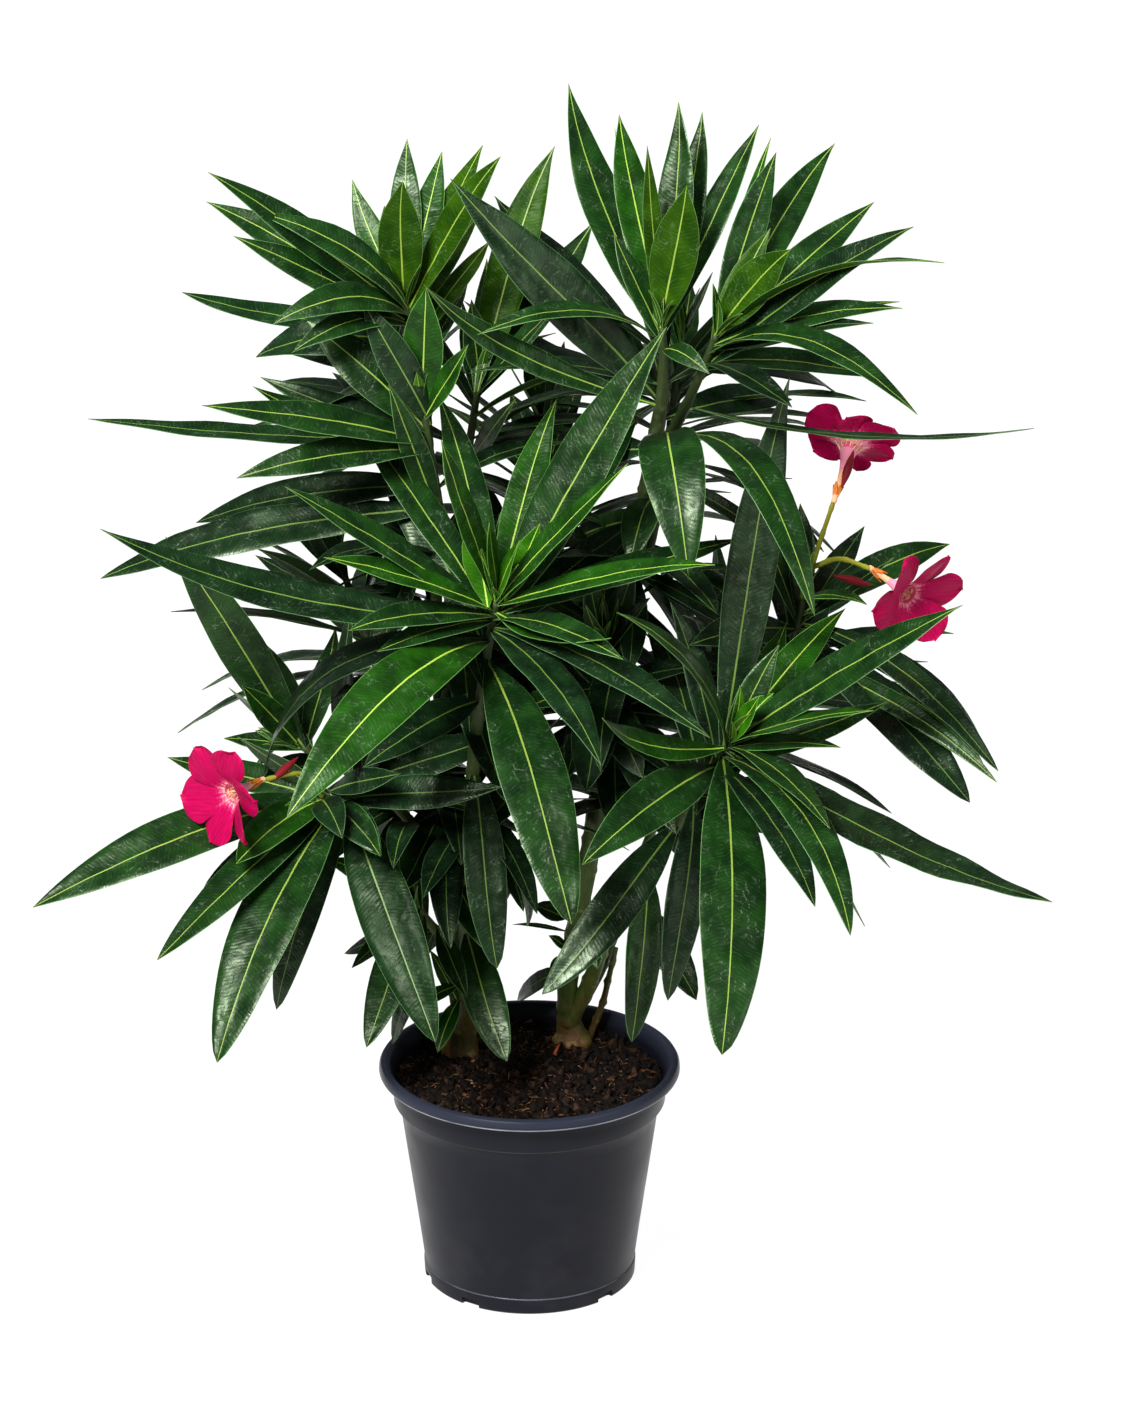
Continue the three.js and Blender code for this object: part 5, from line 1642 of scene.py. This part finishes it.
# Outside of the tube up to its mouth, then back down inside it: radius, and share of the tube's length
TUBE_OUTLINE = (
    (0.3, -0.1), (1.7, -0.08), (1.8, 0.25), (2.2, 0.45), (3.4, 0.62), (5.2, 0.8), (6.4, 0.95),
    (5.9, 0.95), (4.6, 0.8), (2.8, 0.62), (1.6, 0.5), (0.2, 0.46),
)
PETAL = dict(count=6, inner=0.86, beyond=6, half=14.5, rows=24, columns=13, half_thick=0.2, cup=2.4,
    lopsided=0.16, turn=15, uneven=0.1, throat=4.9, mouth=(7, 8.5))
SEPAL = dict(count=5, reach=11, width=2.8, lean=12, beside=1.2, arch=0.4)
FRINGE = dict(teeth=24, place=0.8, radius=4.6, reach=6.5, thick=0.5, lean=30)
STAMEN = dict(place=0.58, reach=9, radii=(2.0, 1.5, 1.1, 0.6, 0.2), threads=5,
    thread_radii=(0.3, 0.28, 0.24, 0.08))
BUD = dict(reach=24, radii=(0.5, 1.5, 2.4, 2.7, 2.3, 1.4, 0.4))
BUDS = (((190, -18, 533), (55, 58)), ((186, -16, 476), (-10, -12)), ((-157, -68, 361), (38, 28)))
CRIMSON, DEEP_ROSE, ROSE, PALE, CREAM = range(5)
TUBE_KINDS = (CREAM, CREAM, CREAM, PALE, PALE, ROSE, ROSE, ROSE, PALE, CREAM, CREAM)
PETAL_STEPS = {True: (0.1, 0.17, 0.24, 0.32), False: (0.16, 0.3, 0.4, 0.52)}
STALK, JOINT, SEPAL_SKIN, BUD_SKIN = range(4)
SEPAL_STYLE = dict(blunt=0.1, slender=1, sway=0, sag=0, twist=0, fold=-0.2, wave=0, waves=(9, 9), phase=0,
    offset=0, ripples=())


def petal_places(flower, way, outward, chance):
    """A petal from the throat out to its round end, as upper and lower points and its map."""
    share, across = np.linspace(0, 1, PETAL["rows"]), np.linspace(-1, 1, PETAL["columns"])
    lean = math.radians(flower["spread"] + chance(-9, 9))
    size = 1 + chance(-PETAL["uneven"], PETAL["uneven"])
    inner, far = flower["tube"] * PETAL["inner"], (flower["reach"] + PETAL["beyond"]) * size
    start = np.array([inner, PETAL["throat"]])
    bend = np.array([inner + PETAL["mouth"][0], PETAL["mouth"][1]])
    end = np.array([inner + far * math.cos(lean), far * math.sin(lean)])
    path = np.outer((1 - share) ** 2, start) + np.outer(2 * share * (1 - share), bend)
    path = path + np.outer(share ** 2, end)
    swell = 0.24 + 0.76 * np.clip(share / 0.72, 0, 1) ** 1.35
    round_end = np.sqrt(np.clip(1 - np.clip((share - 0.64) / 0.36, 0, 1) ** 2.4, 0.0004, 1))
    half = PETAL["half"] * size * swell * round_end
    x = rows_of(half) * across * (1 + PETAL["lopsided"] * np.sign(across))
    bow = np.sin(across * 2.2 + chance(0, 1)) * 0.9 * rows_of(share)
    ruffle = 0.9 * np.sin(across * 5 + chance(0, 6)) * rows_of(share) ** 3
    height = PETAL["cup"] * across ** 2 * rows_of(share * (1 - 0.6 * share)) + bow + ruffle
    height += rows_of(chance(-2.5, 1.5) * share ** 4)
    tilt = math.radians(PETAL["turn"] + chance(-8, 8)) * share
    sideways = np.cross(way, outward)
    centre = np.outer(path[:, 0], way) + np.outer(path[:, 1], outward)
    normal = np.cross(unit_rows(np.gradient(centre, axis=0)), sideways)
    normal *= rows_of(np.sign(normal @ way) + (normal @ way == 0))
    side, rise = turned(sideways, normal, tilt)
    middle = centre[:, None, :] + spread(side, x) + spread(rise, height)
    thick = rise[:, None, :] * (PETAL["half_thick"] * (1 - across ** 8))[None, :, None]
    return middle + thick, middle - thick, x, np.repeat(rows_of(share * far), PETAL["columns"], axis=1)


def petal_kind(row, column, upper):
    """Cream in the throat, then rose, then crimson in five steps with an uneven edge; longer on the back."""
    beside = abs(column / PETAL["columns"] * 2 - 1)
    share = row / PETAL["rows"] + 0.05 * math.sin(column * 2.4) - 0.04 * beside
    return CREAM - sum(share > step for step in PETAL_STEPS[upper])


def sepal_kind(row, column, upper):
    return SEPAL_SKIN


def flower_tube(start, way, length):
    """The tube's closed shape, outside and inside, turned round its line."""
    across = way.cross(ASIDE).normalized()
    corners = []
    for radius, share in TUBE_OUTLINE:
        corners += ring_points(start + way * (share * length), across, way.cross(across), radius, TUBE_SIDES)
    return corners, tube_faces(len(TUBE_OUTLINE), TUBE_SIDES)


def round_shape(start, way, reach, radii, sides, steps=14):
    """A closed turned shape along a straight line, through radii at even places."""
    shares = np.linspace(0, 1, steps)
    sizes = np.interp(shares, np.linspace(0, 1, len(radii)), radii)
    return strand([start + way * (reach * share) for share in shares], sizes, sides)


def around(way, aside, count, shift=0.0):
    """Ways evenly round a line."""
    return [Quaternion(way, (index + shift) / count * 2 * math.pi) @ aside for index in range(count)]


petals, hearts, stalks = Heap(), Heap(), Heap()
flower_chance = random.Random(9).uniform
for flower in FLOWERS:
    way, end = heading(*flower["looks"]), Vector(flower["stalk"][-1])
    aside = Quaternion(way, math.radians(flower["spin"])) @ UP.cross(way).normalized()
    for outward in around(way, aside, PETAL["count"]):
        above, below, x, y = petal_places(flower, np.array(way), np.array(outward), flower_chance)
        put_sheet(petals, above + np.array(end), below + np.array(end), x, y, petal_kind)
    lean = math.radians(SEPAL["lean"])
    for outward in around(way, aside, SEPAL["count"], 0.5):
        sepal = dict(
            root=end + outward * SEPAL["beside"] - way, axis=-outward, arch=SEPAL["arch"], roll=0,
            direction=way * math.cos(lean) + outward * math.sin(lean), reach=SEPAL["reach"],
            width=SEPAL["width"],
        )
        put_sheet(stalks, *leaf_places(sepal, SEPAL_STYLE), sepal_kind)
    kinds = [kind for kind in TUBE_KINDS for side in range(TUBE_SIDES)] + [CREAM, CREAM]
    petals.put(*flower_tube(end, way, flower["tube"]), kind=kinds)
    for index, outward in enumerate(around(way, aside, FRINGE["teeth"])):
        lean = math.radians(FRINGE["lean"] + flower_chance(-16, 16))
        tip = way * math.cos(lean) + outward * math.sin(lean)
        root = end + way * flower["tube"] * FRINGE["place"] + outward * FRINGE["radius"]
        reach = FRINGE["reach"] * flower_chance(0.6, 1.2)
        curl = Quaternion(way, flower_chance(-0.6, 0.6)) @ tip
        points = [root, root + tip * reach * 0.5, root + tip * reach * 0.7 + curl * reach * 0.4]
        hearts.put(*strand(points, [FRINGE["thick"], FRINGE["thick"] * 0.8, 0.08], 5), kind=index % 2)
    stamen = end + way * flower["tube"] * STAMEN["place"]
    hearts.put(*round_shape(stamen, way, STAMEN["reach"], STAMEN["radii"], 10), kind=2)
    for index in range(STAMEN["threads"]):
        spin = index / STAMEN["threads"] * 2 * math.pi
        points = [
            stamen + way * (6 + 2.2 * step) + Quaternion(way, spin + 0.7 * step) @ aside * (0.9 + 0.35 * step)
            for step in range(4)
        ]
        hearts.put(*strand(points, STAMEN["thread_radii"], 4), kind=2)

    places, length = even_places(flower["stalk"], 18)
    joints = [length * share for share in STALK_SHAPE["joints"]]
    stem_skin(stalks, places, lambda run, share: mix(STALK_SHAPE["base"], STALK_SHAPE["tip"], share),
        STALK_SHAPE["sides"], (), 0.15, joints)
for place, looks in BUDS:
    stalks.put(*round_shape(Vector(place), heading(*looks), BUD["reach"], BUD["radii"], 10), kind=BUD_SKIN)

# %% Flower materials
def petal_skin(name, dark, light):
    """Thin veined tissue: lengthwise veins mix two close tints, with a soft sheen."""
    material, tree, shader = new_material(name, dark, 0.5, 1.14)
    place = add(tree, "TexCoord").outputs["UV"]
    long = add(tree, "Mapping", {"Vector": place, "Scale": (1.0, 0.14, 1.0)})
    veins = add(tree, "TexNoise", {"Vector": long, "Scale": 75.0, "Detail": 4.0})
    share = add(tree, "MapRange", {"Value": veins, "From Min": 0.25, "From Max": 0.75})
    tint = add(tree, "Mix", {0: share, 6: linear(dark), 7: linear(light)}, data_type="RGBA")
    finish_skin(shader, tint, veins, 0.35, 0.4 * MM)
    return material


# Two close tints of every skin, in the order of the kinds of face
FLOWER_PIECES = {
    "petals": (petals, {
        "crimson petal": ("#8c0234", "#b2064e"), "deep rose petal": ("#980e3d", "#b4225a"),
        "rose petal": ("#bc3460", "#d4587e"), "pale rose petal": ("#cc6c88", "#de92a0"),
        "cream petal throat": ("#cc8a6c", "#e0b084"),
    }),
    "flower_hearts": (hearts, {
        "pink fringe": ("#c25a7c", "#dc8fa4"), "cream fringe": ("#d9a98c", "#e8c9a8"),
        "stamen down": ("#c9a25a", "#dcc68e"),
    }),
    "flower_stalks": (stalks, {
        "flower stalk": ("#6f7a20", "#9a9634"), "stalk joint": ("#6a4a1c", "#8a6a2a"),
        "sepal": ("#a34a1c", "#c9803a"), "closed bud": ("#4a0f14", "#7a1f24"),
    }),
}
for name, (heap, skins) in FLOWER_PIECES.items():
    materials = [petal_skin(skin, *tints) for skin, tints in skins.items()]
    smooth_soft_edges(heap.piece(name, materials, "petals", BLOSSOMS), 60)
